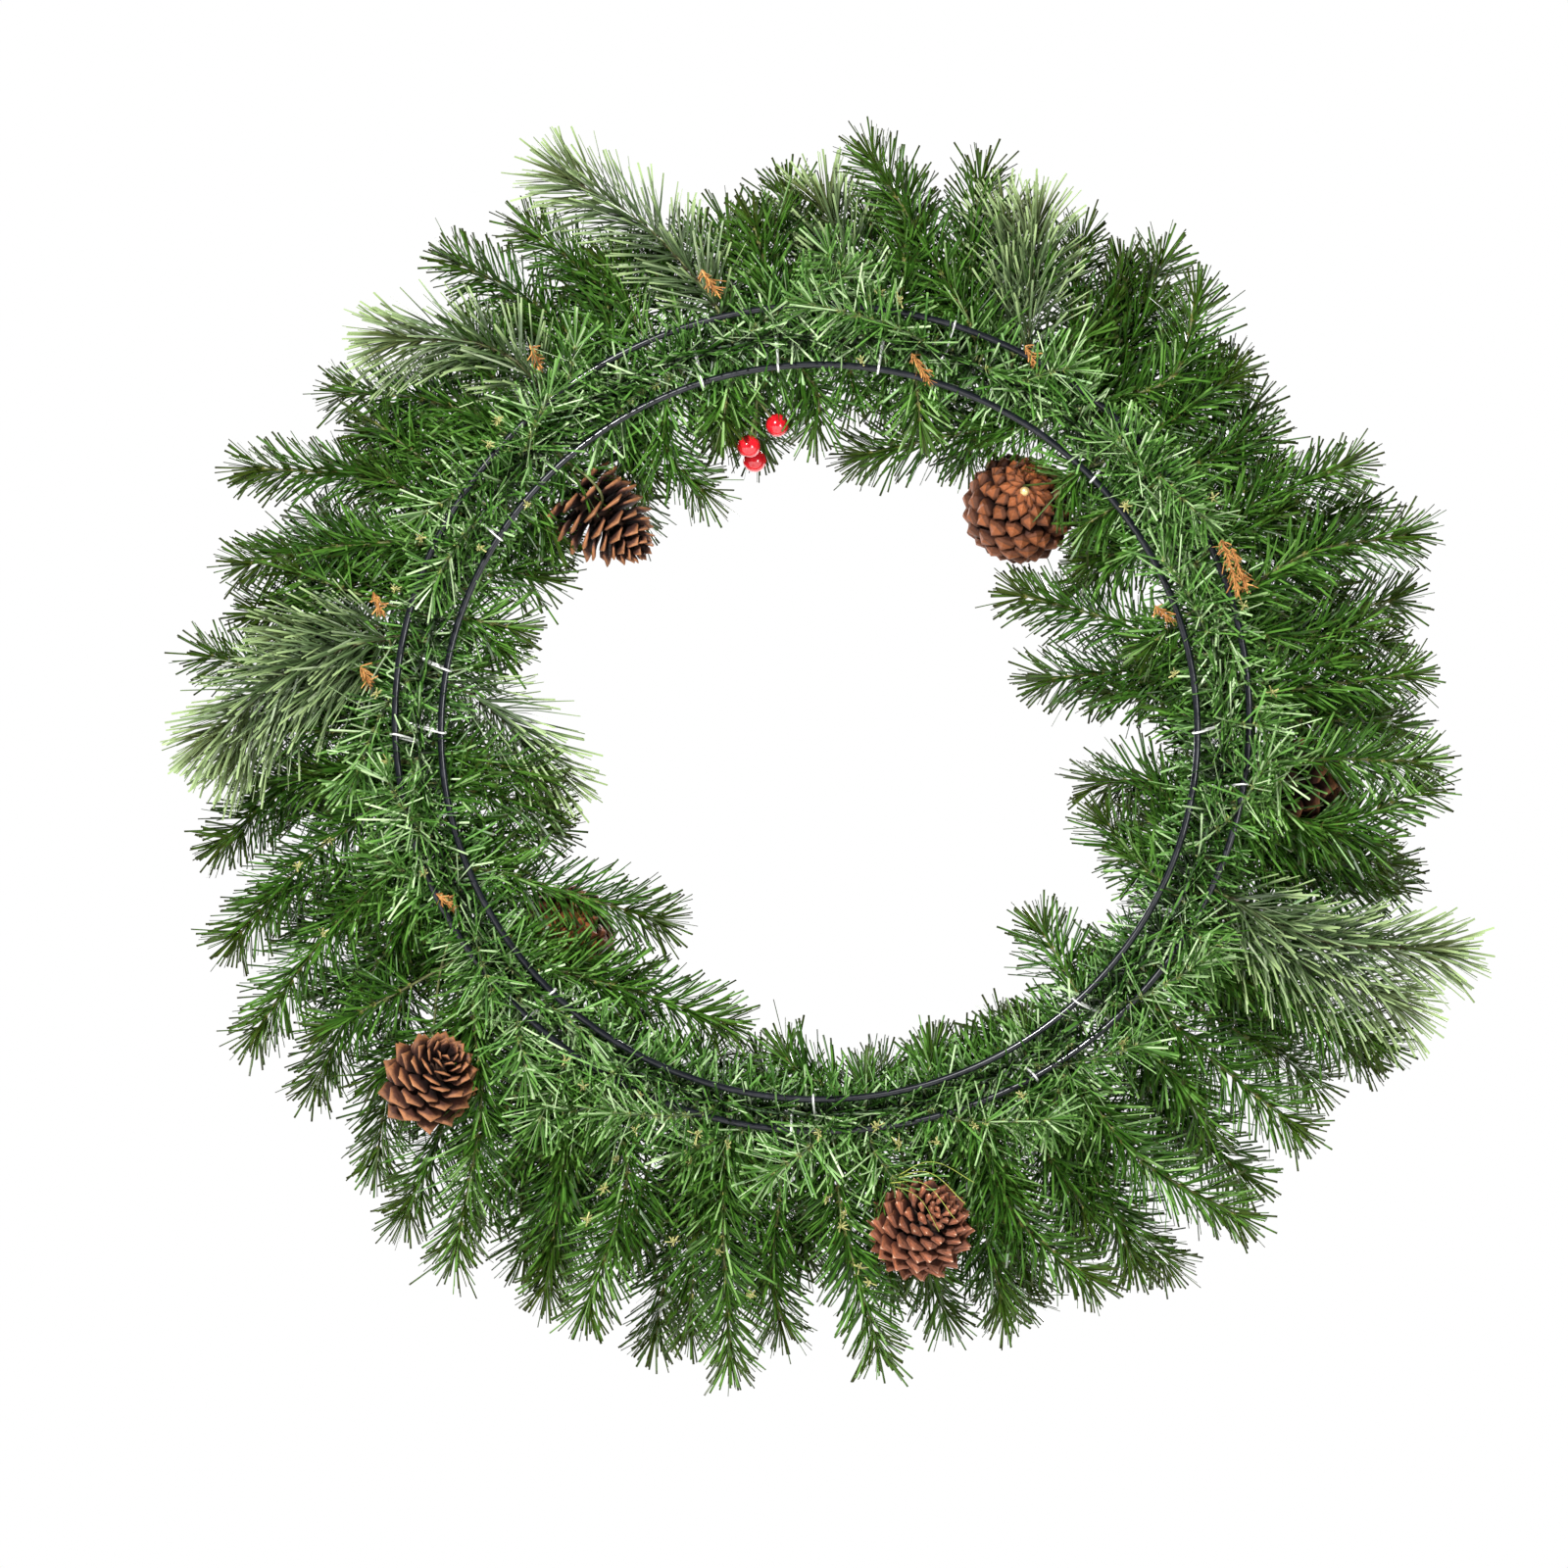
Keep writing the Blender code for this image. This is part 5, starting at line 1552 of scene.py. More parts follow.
@dataclass(frozen=True)
class Ring:
    """One coated wire ring of the frame."""

    name: str
    oval: Oval
    steps: int = 240
    sides: int = 14

    def build(self) -> bpy.types.Mesh:
        """Spin the wire's section round the ring's centre and stretch it to the oval."""
        model = bmesh.new()
        centre = at_pixel(self.oval.centre, 0.0)
        radius = self.oval.half_width * METRES_PER_PX
        bmesh.ops.create_circle(
            model, segments=self.sides, radius=RING_WIRE_RADIUS,
            matrix=Matrix.Translation((radius, 0.0, 0.0)))
        bmesh.ops.spin(
            model, geom=[*model.verts, *model.edges], cent=(0.0, 0.0, 0.0),
            axis=(0.0, 1.0, 0.0), angle=tau, steps=self.steps, use_merge=True)
        bmesh.ops.scale(
            model, verts=model.verts,
            vec=(1.0, 1.0, self.oval.half_height / self.oval.half_width))
        bmesh.ops.translate(model, verts=model.verts, vec=centre)
        bmesh.ops.remove_doubles(model, verts=model.verts, dist=MERGE_DISTANCE)
        bmesh.ops.recalc_face_normals(model, faces=model.faces)
        smooth(model)
        return to_mesh(model, self.name)

    def dress(self) -> None:
        """Build the ring and give it its coat."""
        present(f"{self.name}_wire", self.build(), (RING_COAT,), (self.name,))


@dataclass(frozen=True)
class Tie:
    """A silver wire tie: a loose loop round the ring and the core, with two short ends."""

    name: str
    ring: Oval
    place: Pixel
    node: str = ""
    turns: int = 1
    pitch: float = 0.0013
    tail: float = 0.006
    tint: float = 0.5

    SWINGS = (-80, -30, 30, 80)
    STEPS_ROUND = 40
    FIRST_END_ASIDE = 0.003
    LAST_END_ASIDE = 0.002

    def path(self) -> Path:
        """Lead the wire from one end round the ring and the core to its other end."""
        angle = self.ring.angle_of(self.place)
        if self.node:
            angle = round(angle / tau * self.STEPS_ROUND) / self.STEPS_ROUND * tau
        on_ring = self.ring.point(angle, 0.0)
        on_core = GARLAND.point(angle, GARLAND_DEPTH)
        along = (on_core - on_ring).normalized()
        tangent = (self.ring.point(angle + TANGENT_STEP, 0.0) - on_ring).normalized()
        side = along.cross(tangent).normalized()
        wrap = RING_WIRE_RADIUS + TIE_GAUGE.radius
        core_wrap = GARLAND_CORE_RADIUS + TIE_GAUGE.radius
        end = on_core + along * (core_wrap + self.tail)
        knots = [end + side * self.FIRST_END_ASIDE]
        for turn in range(self.turns):
            shift = tangent * self.pitch * (turn - (self.turns - 1) / 2)
            lean = tangent * self.pitch / 2
            for swing in self.SWINGS:
                angle = radians(swing)
                knots.append(
                    on_ring + shift + wrap * (sin(angle) * side - cos(angle) * along))
            for swing in reversed(self.SWINGS):
                angle = radians(swing)
                knots.append(
                    on_core + shift + lean
                    + core_wrap * (sin(angle) * side + cos(angle) * along))
        knots.append(end - side * self.LAST_END_ASIDE + tangent * self.LAST_END_ASIDE)
        return Path(knots)

    def dress(self) -> None:
        """Build the tie and give it its metal."""
        wires = WireWork()
        wires.draw(self.path(), TIE_GAUGE, self.tint)
        nodes = (self.node,) if self.node else ()
        present(self.name, wires.mesh(self.name), (TIE_METAL,), nodes)


TIE_NODES = (
    ("tie_inner_top_left", INNER_RING, (738, 386)),
    ("tie_inner_top_right", INNER_RING, (909, 380)),
    ("tie_inner_right", INNER_RING, (1222, 746)),
    ("tie_inner_bottom_left", INNER_RING, (576, 1021)),
    ("tie_inner_left", INNER_RING, (451, 766)),
    ("tie_outer_top", OUTER_RING, (946, 320)),
)

ADDED_TIES = (
    (INNER_RING, (794, 374)),
    (INNER_RING, (1116, 488)),
    (INNER_RING, (1105, 1028)),
    (INNER_RING, (830, 1122)),
    (INNER_RING, (449, 682)),
    (INNER_RING, (505, 546)),
    (OUTER_RING, (1278, 802)),
    (OUTER_RING, (1060, 1106)),
    (OUTER_RING, (807, 1155)),
    (OUTER_RING, (540, 1036)),
    (OUTER_RING, (403, 750)),
)

TIES = (
    *(Tie(f"{node}_wire", ring, place, node) for node, ring, place in TIE_NODES),
    *(Tie(f"tie_added_{number}", *spot) for number, spot in enumerate(ADDED_TIES, 1)),
)


class ScaleShape(NamedTuple):
    """A cone scale's outline, read along its length: its widths and thicknesses."""

    stations: tuple
    widths: tuple
    thicknesses: tuple
    side_share: float
    roundness: float
    crown: float
    cup: float


class ConeRows(NamedTuple):
    """A cone's scales: their shape, then rows of sizes and leans from the base to the tip.

    Sizes are in metres, and leans in degrees from the way the cone points.
    """

    scale: ScaleShape
    cores: tuple[float, ...]
    lengths: tuple[float, ...]
    leans: tuple[float, ...]
    widths: tuple[float, ...]
    scales: int
    packing: float
    bark: ConeBark


SCALE_MAP_WIDTH = 0.8
SCALE_MAP_SPLIT = 0.6


class ConeForm(Enum):
    """How far a cone has opened."""

    OPEN = ConeRows(
        ScaleShape(
            stations=(0.0, 0.4, 0.72, 0.88, 1.0), widths=(0.34, 0.66, 1.0, 0.98, 0.62),
            thicknesses=(0.07, 0.08, 0.11, 0.18, 0.10), side_share=0.45, roundness=0.16,
            crown=0.05, cup=0.14),
        cores=(0.0095, 0.0100, 0.0095, 0.0080, 0.0060, 0.0030),
        lengths=(0.0165, 0.0180, 0.0175, 0.0150, 0.0115, 0.0080),
        leans=(104, 90, 76, 62, 46, 22),
        widths=(0.0130, 0.0150, 0.0145, 0.0125, 0.0090, 0.0045),
        scales=66, packing=0.92, bark=OPEN_BARK)
    PLATED = ConeRows(
        ScaleShape(
            stations=(0.0, 0.4, 0.78, 0.93, 1.0), widths=(0.46, 0.76, 1.0, 0.96, 0.66),
            thicknesses=(0.14, 0.24, 0.42, 0.52, 0.34), side_share=0.34, roundness=0.22,
            crown=0.07, cup=0.04),
        cores=(0.0050, 0.0130, 0.0165, 0.0155, 0.0110, 0.0030),
        lengths=(0.0110, 0.0128, 0.0132, 0.0122, 0.0102, 0.0066),
        leans=(150, 112, 88, 70, 50, 16),
        widths=(0.0090, 0.0118, 0.0134, 0.0118, 0.0086, 0.0048),
        scales=124, packing=0.92, bark=PLATED_BARK)
    CLOSED = ConeRows(
        ScaleShape(
            stations=(0.0, 0.4, 0.78, 0.93, 1.0), widths=(0.50, 0.80, 1.0, 1.0, 0.84),
            thicknesses=(0.30, 0.50, 0.80, 0.92, 0.74), side_share=0.34, roundness=0.12,
            crown=0.035, cup=0.02),
        cores=(0.0050, 0.0140, 0.0180, 0.0170, 0.0120, 0.0030),
        lengths=(0.0105, 0.0120, 0.0122, 0.0112, 0.0095, 0.0065),
        leans=(168, 118, 86, 62, 42, 14),
        widths=(0.0048, 0.0098, 0.0128, 0.0120, 0.0088, 0.0050),
        scales=150, packing=1.3, bark=CLOSED_BARK)

    def template(self) -> bpy.types.Mesh:
        """Make one scale, one metre each way, that runs from its root along +Z."""
        model = new_model("crown")
        bmesh.ops.create_cube(model, size=1.0, matrix=Matrix.Translation((0.0, 0.0, 0.5)))
        cuts = [((0.0, 0.0, share), (0.0, 0.0, 1.0)) for share in self.value.scale.stations[1:-1]]
        cuts += [((0.0, 0.0, 0.0), (1.0, 0.0, 0.0)), ((0.0, 0.0, 0.0), (0.0, 1.0, 0.0))]
        for place, normal in cuts:
            bmesh.ops.bisect_plane(model, geom=whole(model), plane_co=place, plane_no=normal)
        self.shape(model)
        bmesh.ops.recalc_face_normals(model, faces=model.faces)
        for face in model.faces:
            face.smooth = self is ConeForm.OPEN
        return to_mesh(model, f"scale_{self.name.lower()}")

    def shape(self, model: bmesh.types.BMesh) -> None:
        """Draw the block out to the scale's outline and raise the point at its end."""
        along = model.verts.layers.float["along"]
        crown = model.verts.layers.float["crown"]
        layer = model.loops.layers.uv[MAP_NAME]
        for face in model.faces:
            for loop in face.loops:
                spot = loop.vert.co
                column = 0.5 + spot.x * SCALE_MAP_WIDTH * (SCALE_MAP_SPLIT + spot.y)
                loop[layer].uv = (column, STRIP_START + STRIP_SHARE * spot.z)
        form = self.value.scale
        for vertex in model.verts:
            across, thick, share = vertex.co
            side = abs(across) * 2
            width = np.interp(share, form.stations, form.widths)
            thickness = np.interp(share, form.stations, form.thicknesses)
            middle = side == 0 and thick == 0 and share == 1
            vertex[along] = share
            vertex[crown] = 1.0 if middle else 0.0
            thinned = 1 - side * (1 - form.side_share)
            vertex.co.x = across * width
            vertex.co.y = thick * thickness * thinned + form.cup * (share ** 2 - side * 0.5)
            vertex.co.z = share - form.roundness * side ** 2 * share + form.crown * middle


@dataclass(frozen=True)
class Cone:
    """A pine cone on its wire: its wire's root, its middle and depth, and the way it points."""

    name: str
    root: Pixel
    middle: Pixel
    depth: float
    towards_tip: tuple[float, float, float]
    form: ConeForm
    core_length: float = 0.0432
    base_radius: float = 0.0070
    wire_height: float = 0.012
    wire_aside: float = 0.026
    fullness: float = 1.0

    INSIDE_HEIGHT = 1.3
    WIRE_TINT = 0.4
    LEAN_STRAY = 3.0
    LENGTH_STRAY = 0.04
    WIDTH_STRAY = 0.05
    TURN_STRAY = 0.04
    ROOT_SHARE = 0.55
    IN_CORE_SHARE = 0.45
    THICKNESS_SHARE = 0.9
    HEART_SHARE = 0.8
    HEART_STEPS = 14

    def axis(self) -> tuple[Vector, Vector, Vector]:
        """Return the cone's base, its tip and the way from one to the other."""
        towards = Vector(self.towards_tip).normalized()
        middle = at_pixel(self.middle, self.depth)
        half = towards * CONE_LENGTH / 2
        return middle - half, middle + half, towards

    def wire(self) -> Path:
        """Lead the cone's wire from the garland past the scales to the base."""
        base, _, towards = self.axis()
        start, outwards = leave_garland(self.root, base)
        aside = start - base
        aside = (aside - towards * aside.dot(towards)).normalized()
        beside = base + towards * self.wire_height + aside * self.wire_aside
        inside = base + towards * self.wire_height * self.INSIDE_HEIGHT
        return Path([start, start + outwards * STRAIGHT_ROOT, beside, inside])

    def scales(self, random: np.random.Generator) -> Stamps:
        """Set the scales round the core in their spiral, smaller towards the tip."""
        form = self.form.value
        base, _, towards = self.axis()
        count = form.scales
        share = ((np.arange(count) + 0.5) / count) ** form.packing
        rows = np.linspace(0.0, 1.0, len(form.cores))
        lean = np.interp(share, rows, form.leans) + random.normal(0, self.LEAN_STRAY, count)
        lean = np.radians(lean)
        size = np.interp(share, rows, form.lengths)
        size *= 1 + random.normal(0, self.LENGTH_STRAY, count)
        width = np.interp(share, rows, form.widths)
        width *= 1 + random.normal(0, self.WIDTH_STRAY, count)
        core = np.interp(share, rows, form.cores) * self.fullness
        size *= self.fullness
        width *= self.fullness
        axis = np.array(towards)
        across, up = (Vector(found[0]) for found in crosswise(axis[None]))
        turn = np.arange(count) * GOLDEN_ANGLE + random.normal(0, self.TURN_STRAY, count)
        outwards = (
            np.cos(turn)[:, None] * np.array(across) + np.sin(turn)[:, None] * np.array(up))
        height = self.core_length * share
        roots = np.array(base) + axis * height[:, None]
        roots += outwards * core[:, None] * self.ROOT_SHARE
        ways = axis * np.cos(lean)[:, None] + outwards * np.sin(lean)[:, None]
        reach = size + core * self.IN_CORE_SHARE
        sides = unit(np.cross(ways, axis))
        thick = unit(np.cross(sides, ways))
        return Stamps(
            roots=roots, across=sides * width[:, None],
            up=thick * size[:, None] * self.THICKNESS_SHARE,
            ways=ways * reach[:, None], bows=np.zeros((count, 3)), tints=random.random(count),
            reaches=share)

    def heart(self) -> bpy.types.Mesh:
        """Turn the core that the scales stand on."""
        base, _, towards = self.axis()
        model = new_model("crown")
        cores = self.form.value.cores
        heights = np.linspace(0.0, self.core_length, len(cores))
        radii = [self.base_radius, *(radius * self.HEART_SHARE for radius in cores[1:-1]), 0.0]
        profile = [model.verts.new((0.0, 0.0, 0.0))]
        for radius, height in zip(radii, heights):
            profile.append(model.verts.new((radius, 0.0, height)))
        edges = [model.edges.new(pair) for pair in zip(profile, profile[1:])]
        bmesh.ops.spin(
            model, geom=[*profile, *edges], cent=(0.0, 0.0, 0.0), axis=(0.0, 0.0, 1.0),
            angle=tau, steps=self.HEART_STEPS, use_merge=True)
        bmesh.ops.remove_doubles(model, verts=model.verts, dist=MERGE_DISTANCE)
        bmesh.ops.transform(model, verts=model.verts, matrix=stood(base, towards))
        bmesh.ops.recalc_face_normals(model, faces=model.faces)
        smooth(model, material=1)
        return to_mesh(model, "heart")

    def dress(self, templates: dict, random: np.random.Generator) -> None:
        """Build the cone on its wire and give it its finishes."""
        wires = WireWork()
        wires.draw(self.wire(), PLAIN_GAUGE, self.WIRE_TINT, material=2)
        scales = stamp(templates[self.form], self.scales(random), "scales")
        mesh = joined(self.name, [scales, self.heart(), wires.mesh("wire")])
        present(
            f"{self.name}_scales", mesh, (self.form.value.bark, CONE_HEART, TWIG_WIRE),
            (self.name,))


CONES = (
    Cone("cone_upper_left", (560, 455), (622, 533), 0.022, (0.74, -0.25, -0.62), ConeForm.OPEN),
    Cone("cone_upper_right", (1140, 465), (1040, 521), 0.050, (-0.12, 0.90, -0.40),
         ConeForm.CLOSED, fullness=1.05),
    Cone("cone_lower_left", (480, 935), (443, 1096), 0.002, (0.33, -0.80, 0.50), ConeForm.OPEN),
    Cone("cone_bottom", (925, 1130), (942, 1252), 0.012, (0.41, -0.78, 0.47), ConeForm.PLATED),
    Cone("cone_right", (1248, 755), (1338, 806), 0.060, (0.55, 0.75, -0.25), ConeForm.OPEN),
    Cone("cone_inner_left", (466, 910), (574, 958), 0.070, (-0.10, 0.95, -0.20),
         ConeForm.CLOSED),
)


@dataclass(frozen=True)
class Bunch:
    """A bunch of berries: where its wire leaves the garland, then each berry and its depth."""

    name: str
    root: Pixel
    berries: tuple[tuple[float, float, float], ...]

    WIRE_TINT = 0.6
    FORK_SHARE = 0.55
    SUNKEN_FROM = 0.9
    SUNKEN_BY = 1.6
    END_SHARE = 0.14

    def paths(self) -> tuple[list[Path], list[Vector]]:
        """Lead each berry's wire, all from one place on the garland."""
        berries = [at_pixel(berry[:2], berry[2]) for berry in self.berries]
        middle = sum(berries, Vector()) / len(berries)
        start, outwards = leave_garland(self.root, middle)
        fork = start.lerp(middle, self.FORK_SHARE)
        paths = [Path([start, start + outwards * STRAIGHT_ROOT, fork, berries[0]])]
        for berry in berries[1:]:
            paths.append(Path([fork, fork.lerp(berry, 0.5), berry]))
        return paths, berries

    def berry(self, centre: Vector, towards: Vector) -> bpy.types.Mesh:
        """Form one berry with a small sunken end away from its wire."""
        model = new_model()
        bmesh.ops.create_uvsphere(model, u_segments=28, v_segments=18, radius=BERRY_RADIUS)
        for vertex in model.verts:
            height = vertex.co.z / BERRY_RADIUS
            if height > self.SUNKEN_FROM:
                vertex.co.z -= BERRY_RADIUS * (height - self.SUNKEN_FROM) * self.SUNKEN_BY
        smooth(model)
        for face in model.faces:
            middle = face.calc_center_median()
            if middle.xy.length < BERRY_RADIUS * self.END_SHARE and middle.z > 0:
                face.material_index = 2
        bmesh.ops.transform(model, verts=model.verts, matrix=stood(centre, towards))
        return to_mesh(model, "berry")

    def dress(self) -> None:
        """Build the bunch and give it its finishes."""
        paths, berries = self.paths()
        wires = WireWork()
        for path in paths:
            wires.draw(path, PLAIN_GAUGE, self.WIRE_TINT, material=1)
        meshes = [wires.mesh("wires")]
        for path, berry in zip(paths, berries):
            away = Vector(path.axes_at(np.array([path.length]))[0])
            meshes.append(self.berry(berry, away))
        mesh = joined(self.name, meshes)
        present(
            f"{self.name}_bunch", mesh, (BERRY_RED, TWIG_WIRE, BERRY_END),
            (self.name,))


BUNCHES = (
    Bunch("berries_top", (768, 349), (
        (764, 455, 0.020), (770, 469, 0.034), (793, 433, 0.026))),
    Bunch("berries_lower_left", (488, 949), ((431, 1136, 0.042), (452, 1118, 0.054))),
)


WRAP_STRIP = Habit(
    per_metre=0.0, length=0.0046, width=0.0008, lean_at_root=40, lean_at_tip=30, bare_root=0.0,
    stray=24.0, bow=0.8, thickness=0.0004, spread=0.35, end_needles=4, knot=0.001)
KNOT_STRIP = Habit(
    per_metre=0.0, length=0.0036, width=0.0010, lean_at_root=60, lean_at_tip=40, bare_root=0.0,
    stray=24.0, bow=0.3, thickness=0.0005, spread=0.35, end_needles=8, knot=0.001)


def stand_strips(
        path: Path, strip: Habit, count: float, begin: float,
        random: np.random.Generator) -> Stamps:
    """Stand frayed strips round a stem's end, so many over its length."""
    habit = strip._replace(per_metre=count / path.length)
    return stand_needles(path, habit, begin, random)


@dataclass(frozen=True)
class StemWraps:
    """Orange brown frayed wraps round stem ends: where each starts and ends, and its depth."""

    places: tuple = (
        ((1246, 551), (1262, 602), -0.018), ((1256, 560), (1270, 596), -0.016),
        ((716, 276), (731, 298), -0.017), ((541, 352), (549, 372), -0.008),
        ((381, 604), (389, 624), -0.004), ((368, 680), (376, 694), -0.004),
        ((445, 912), (460, 923), -0.008), ((1178, 618), (1192, 630), -0.004),
        ((930, 361), (946, 386), -0.006), ((1046, 353), (1054, 367), -0.004))
    end_deeper: float = 0.002
    strips: int = 64
    strips_run: float = 0.02
    least_strips: int = 10

    def dress(self, cut: bpy.types.Mesh, random: np.random.Generator) -> None:
        """Build all the wraps as one piece."""
        found = []
        for start, end, depth in self.places:
            path = Path([at_pixel(start, depth), at_pixel(end, depth + self.end_deeper)])
            count = round(self.strips * path.length / self.strips_run) + self.least_strips
            found.append(stand_strips(path, WRAP_STRIP, count, 0.0, random))
        mesh = stamp(cut, gather(found), "stem_wraps")
        present("stem_wraps", mesh, (STEM_WRAP,))


@dataclass(frozen=True)
class TanKnots:
    """Small tan knots where the short twigs' wires end."""

    places: tuple = (
        (403, 601), (433, 890), (653, 1118), (648, 1153), (577, 1083), (596, 1109), (836, 1156),
        (894, 1149), (956, 1165), (995, 1149), (1043, 1118), (1146, 1064), (1268, 618),
        (1298, 706), (1237, 508), (1148, 517), (918, 307), (898, 298), (879, 369), (509, 429),
        (499, 454), (430, 549), (489, 559), (538, 515), (394, 777), (384, 708), (712, 1157),
        (743, 1168), (917, 1167), (1198, 688), (1244, 964))
    outer_places: tuple = (
        (336, 857), (304, 885), (330, 953), (629, 1183), (616, 1213), (599, 1245), (877, 1293),
        (844, 1223), (858, 1252), (862, 1238), (887, 1310), (733, 1277), (767, 1322),
        (705, 1185), (687, 1267))
    depth: float = -0.010
    outer_depth: float = 0.004
    stub: float = 0.009
    sway: float = 0.0015
    strips: int = 26
    bare_share: float = 0.55

    def dress(self, cut: bpy.types.Mesh, random: np.random.Generator) -> None:
        """Build all the knots as one piece."""
        found = []
        ends = [at_pixel(place, self.depth) for place in self.places]
        ends += [at_pixel(place, self.outer_depth) for place in self.outer_places]
        for end in ends:
            sway = Vector(random.normal(0, self.sway, 3))
            path = Path([end + Vector((0.0, self.stub, 0.0)) + sway, end])
            begin = path.length * self.bare_share
            found.append(stand_strips(path, KNOT_STRIP, self.strips, begin, random))
        mesh = stamp(cut, gather(found), "tan_knots")
        present("tan_knots", mesh, (TAN_KNOT,))


@dataclass(frozen=True)
class Wisps:
    """Thin yellow green needles that arch over the bottom cone."""

    ends: tuple = (
        ((913, 1203), (948, 1196), (985, 1228)), ((908, 1207), (944, 1208), (974, 1243)),
        ((915, 1200), (952, 1185), (994, 1206)), ((911, 1210), (938, 1222), (958, 1256)))
    depth: float = -0.014
    bend_lift: float = 0.003

    def dress(self) -> None:
        """Build all the wisps as one piece."""
        wires = WireWork()
        for index, (start, bend, end) in enumerate(self.ends):
            knots = [
                at_pixel(start, 0.0), at_pixel(bend, self.depth - self.bend_lift),
                at_pixel(end, self.depth)]
            wires.draw(Path(knots), WISP_GAUGE, index / len(self.ends))
        present("wisps", wires.mesh("wisps"), (WISP_FILM,))


@dataclass(frozen=True)
class BallPin:
    """A small brass ball pin in the upper right cone."""

    place: Pixel = (1046, 501)
    depth: float = 0.0165
    radius: float = 0.0028
    shank: float = 0.012
    shank_radius: float = 0.0007

    def dress(self) -> None:
        """Build the pin: a ball on a thin shank."""
        model = new_model()
        centre = at_pixel(self.place, self.depth)
        bmesh.ops.create_uvsphere(
            model, u_segments=20, v_segments=12, radius=self.radius,
            matrix=Matrix.Translation(centre))
        bmesh.ops.create_cone(
            model, cap_ends=True, segments=10, radius1=self.shank_radius,
            radius2=self.shank_radius, depth=self.shank,
            matrix=Matrix.Translation(centre + Vector((0.0, self.shank / 2, 0.0)))
            @ Matrix.Rotation(pi / 2, 4, "X"))
        smooth(model)
        present("ball_pin", to_mesh(model, "ball_pin"), (BRASS,))


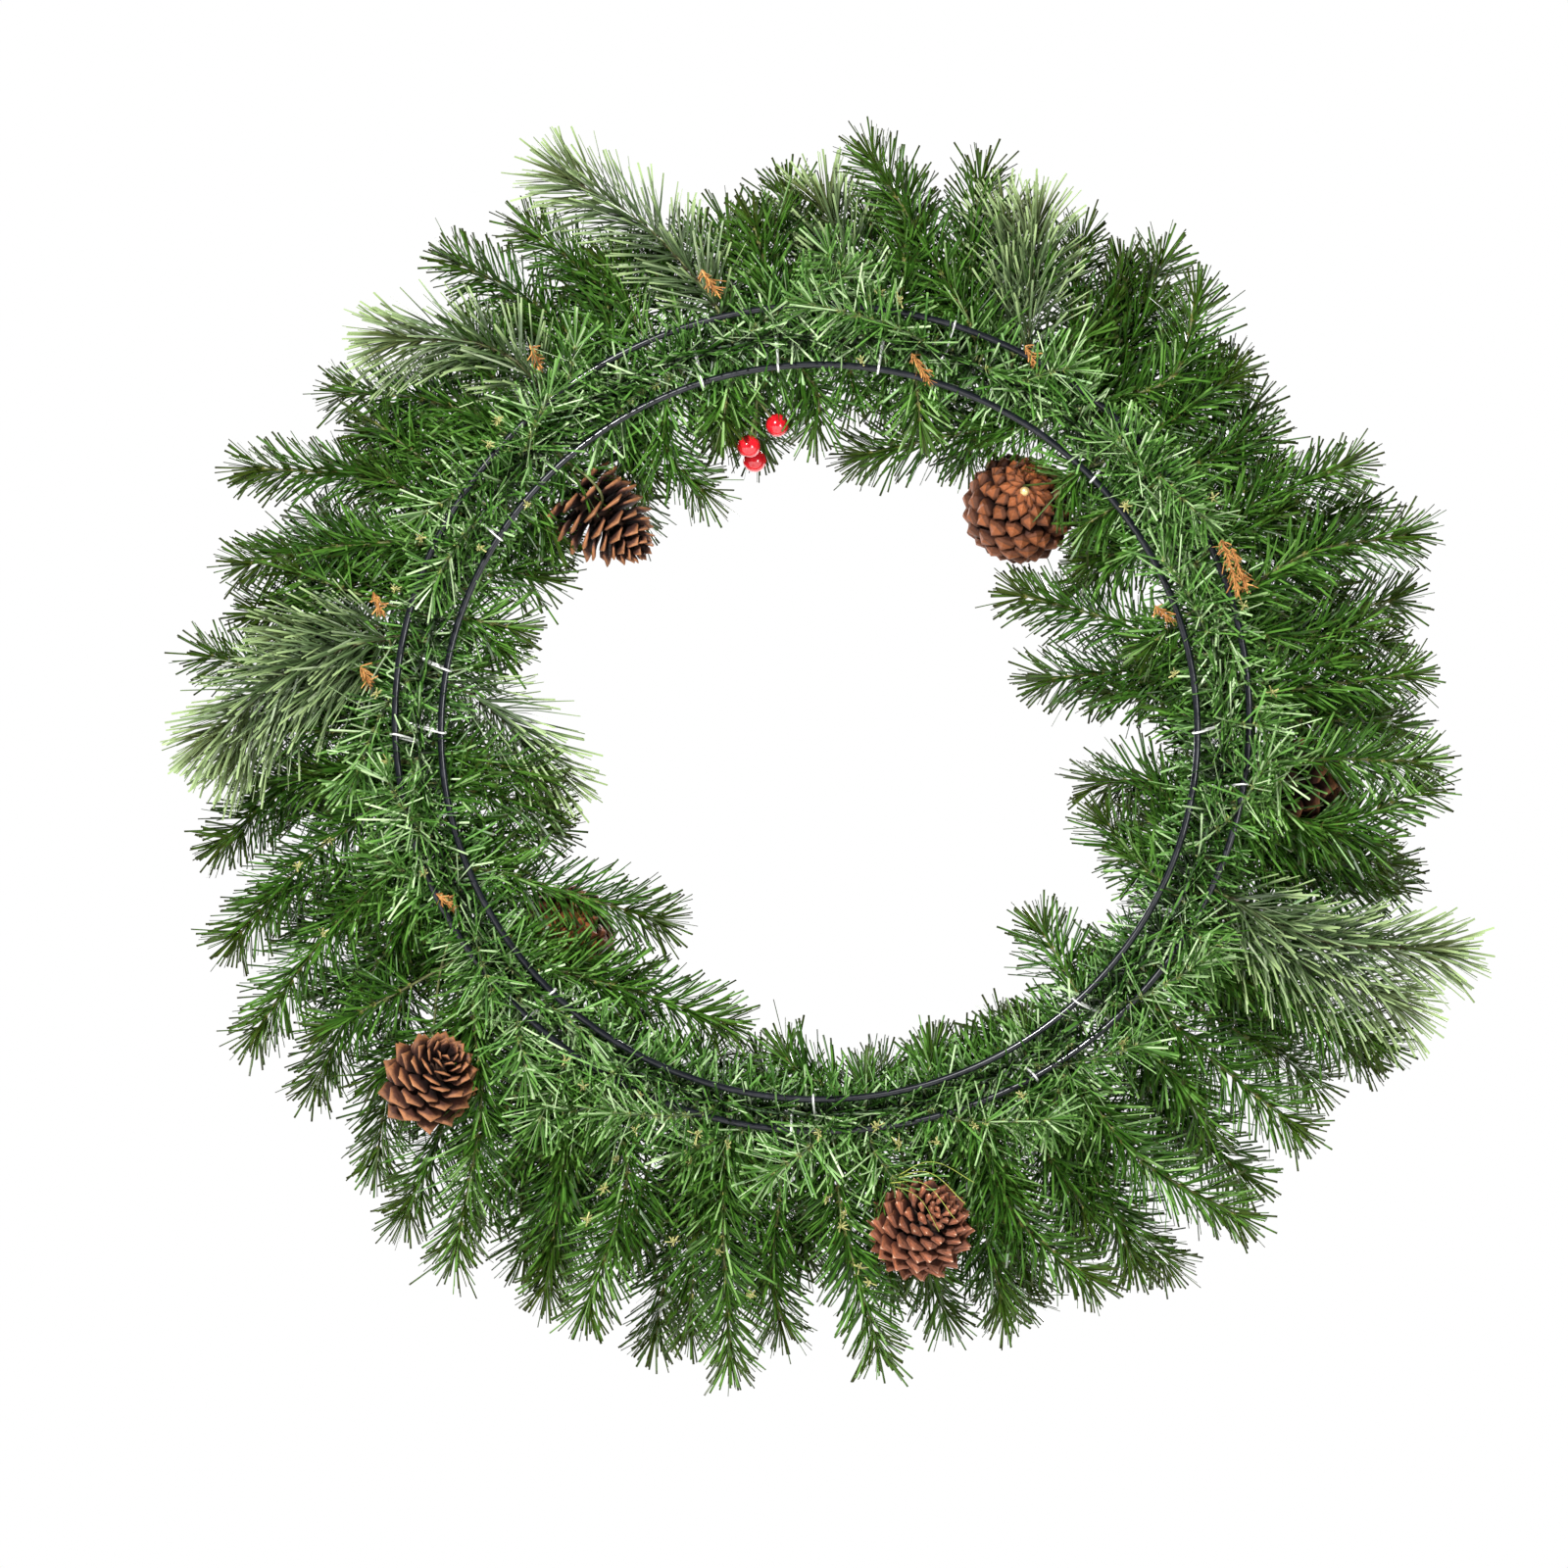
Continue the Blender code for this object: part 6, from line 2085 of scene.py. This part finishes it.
@dataclass(frozen=True)
class Studio:
    """Plain white surroundings, soft lamps, a pale floor and the photograph's camera."""

    camera_distance: float = 10.0
    sensor: float = 36.0
    floor_drop: float = 0.95
    floor_radius: float = 4.4
    around: float = 0.03
    around_colour: tuple = (0.96, 0.98, 1.0, 1.0)
    lamps_depth: float = 0.03
    farthest: float = 100.0
    floor_paint: StudioFloor = StudioFloor("floor_paint", (0.82, 0.82, 0.81))
    lamps: tuple = (
        ("key", (-1.7, -4.2, 2.2), 0.5, 500.0), ("fill", (2.8, -4.3, -0.45), 1.6, 130.0),
        ("front_key", (2.6, 4.0, 3.2), 1.0, 680.0), ("front_fill", (-3.4, 3.8, 0.8), 2.0, 220.0))

    def build(self) -> None:
        """Set up the camera, the lamps, the floor and the surroundings."""
        self.place_camera()
        target = at_pixel((PHOTO_SIZE_PX / 2, PHOTO_SIZE_PX / 2), self.lamps_depth)
        for name, place, size, power in self.lamps:
            lamp = bpy.data.lights.new(name, "AREA")
            lamp.shape = "DISK"
            lamp.size = size
            lamp.energy = power
            holder = placed(name, lamp)
            holder.location = place
            holder.rotation_euler = (target - Vector(place)).to_track_quat("-Z", "Y").to_euler()
        self.lay_floor()
        self.surround()

    def place_camera(self) -> None:
        """Look square at the rings, with the photograph's width in view at their depth."""
        lens = bpy.data.cameras.new("camera")
        lens.sensor_width = self.sensor
        lens.lens = self.sensor * self.camera_distance / (PHOTO_SIZE_PX * METRES_PER_PX)
        lens.clip_end = self.farthest
        camera = placed("camera", lens)
        middle = PHOTO_SIZE_PX / 2
        camera.location = at_pixel((middle, middle), -self.camera_distance)
        camera.rotation_euler = (pi / 2, 0.0, 0.0)
        bpy.context.scene.camera = camera

    def lay_floor(self) -> None:
        """Lay a pale floor well below the wreath."""
        model = bmesh.new()
        bmesh.ops.create_circle(
            model, cap_ends=True, segments=96, radius=self.floor_radius,
            matrix=Matrix.Translation((0.0, 0.0, -self.floor_drop)))
        bmesh.ops.recalc_face_normals(model, faces=model.faces)
        floor = placed("floor", to_mesh(model, "floor"))
        floor.data.materials.append(FINISHES.of(self.floor_paint))
        floor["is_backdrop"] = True

    def surround(self) -> None:
        """Make the surroundings white to the eye and softer as a light."""
        world = bpy.data.worlds.new("studio")
        world.use_nodes = True
        nodes, links = world.node_tree.nodes, world.node_tree.links
        seen = nodes["Background"]
        seen.inputs["Color"].default_value = (1.0, 1.0, 1.0, 1.0)
        light = nodes.new("ShaderNodeBackground")
        light.inputs["Color"].default_value = self.around_colour
        light.inputs["Strength"].default_value = self.around
        sight = nodes.new("ShaderNodeLightPath")
        mix = nodes.new("ShaderNodeMixShader")
        links.new(sight.outputs["Is Camera Ray"], mix.inputs[0])
        links.new(light.outputs[0], mix.inputs[1])
        links.new(seen.outputs[0], mix.inputs[2])
        links.new(mix.outputs[0], nodes["World Output"].inputs["Surface"])
        bpy.context.scene.world = world
        bpy.context.scene.view_settings.view_transform = "Standard"


def main() -> None:
    """Build the studio and the wreath."""
    logging.basicConfig(level=logging.INFO, format="%(name)s: %(message)s")
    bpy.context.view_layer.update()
    Studio().build()
    random = np.random.default_rng(SEED)
    clippers = Clippers(random)
    cuts = {bent: NeedleCut(bent).make() for bent in (True, False)}
    Ring("ring_outer", OUTER_RING).dress()
    Ring("ring_inner", INNER_RING).dress()
    Garland().dress(cuts, clippers)
    for tie in TIES:
        tie.dress()
    crowns = cycle(CROWNS)
    for spray in SPRAYS:
        whole_spray = spray if spray.grows_inwards() else spray.with_crown(next(crowns))
        whole_spray.dress(cuts, clippers)
    for row in TWIG_ROWS:
        row.dress(cuts, clippers)
    dress_twigs("fill_twigs", Foliage.BACK, FILL_TWIGS, cuts, clippers)
    templates = {form: form.template() for form in ConeForm}
    for cone in CONES:
        cone.dress(templates, random)
    for bunch in BUNCHES:
        bunch.dress()
    StemWraps().dress(cuts[True], random)
    TanKnots().dress(cuts[False], random)
    Wisps().dress()
    BallPin().dress()
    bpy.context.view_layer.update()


if __name__ == "__main__":
    main()
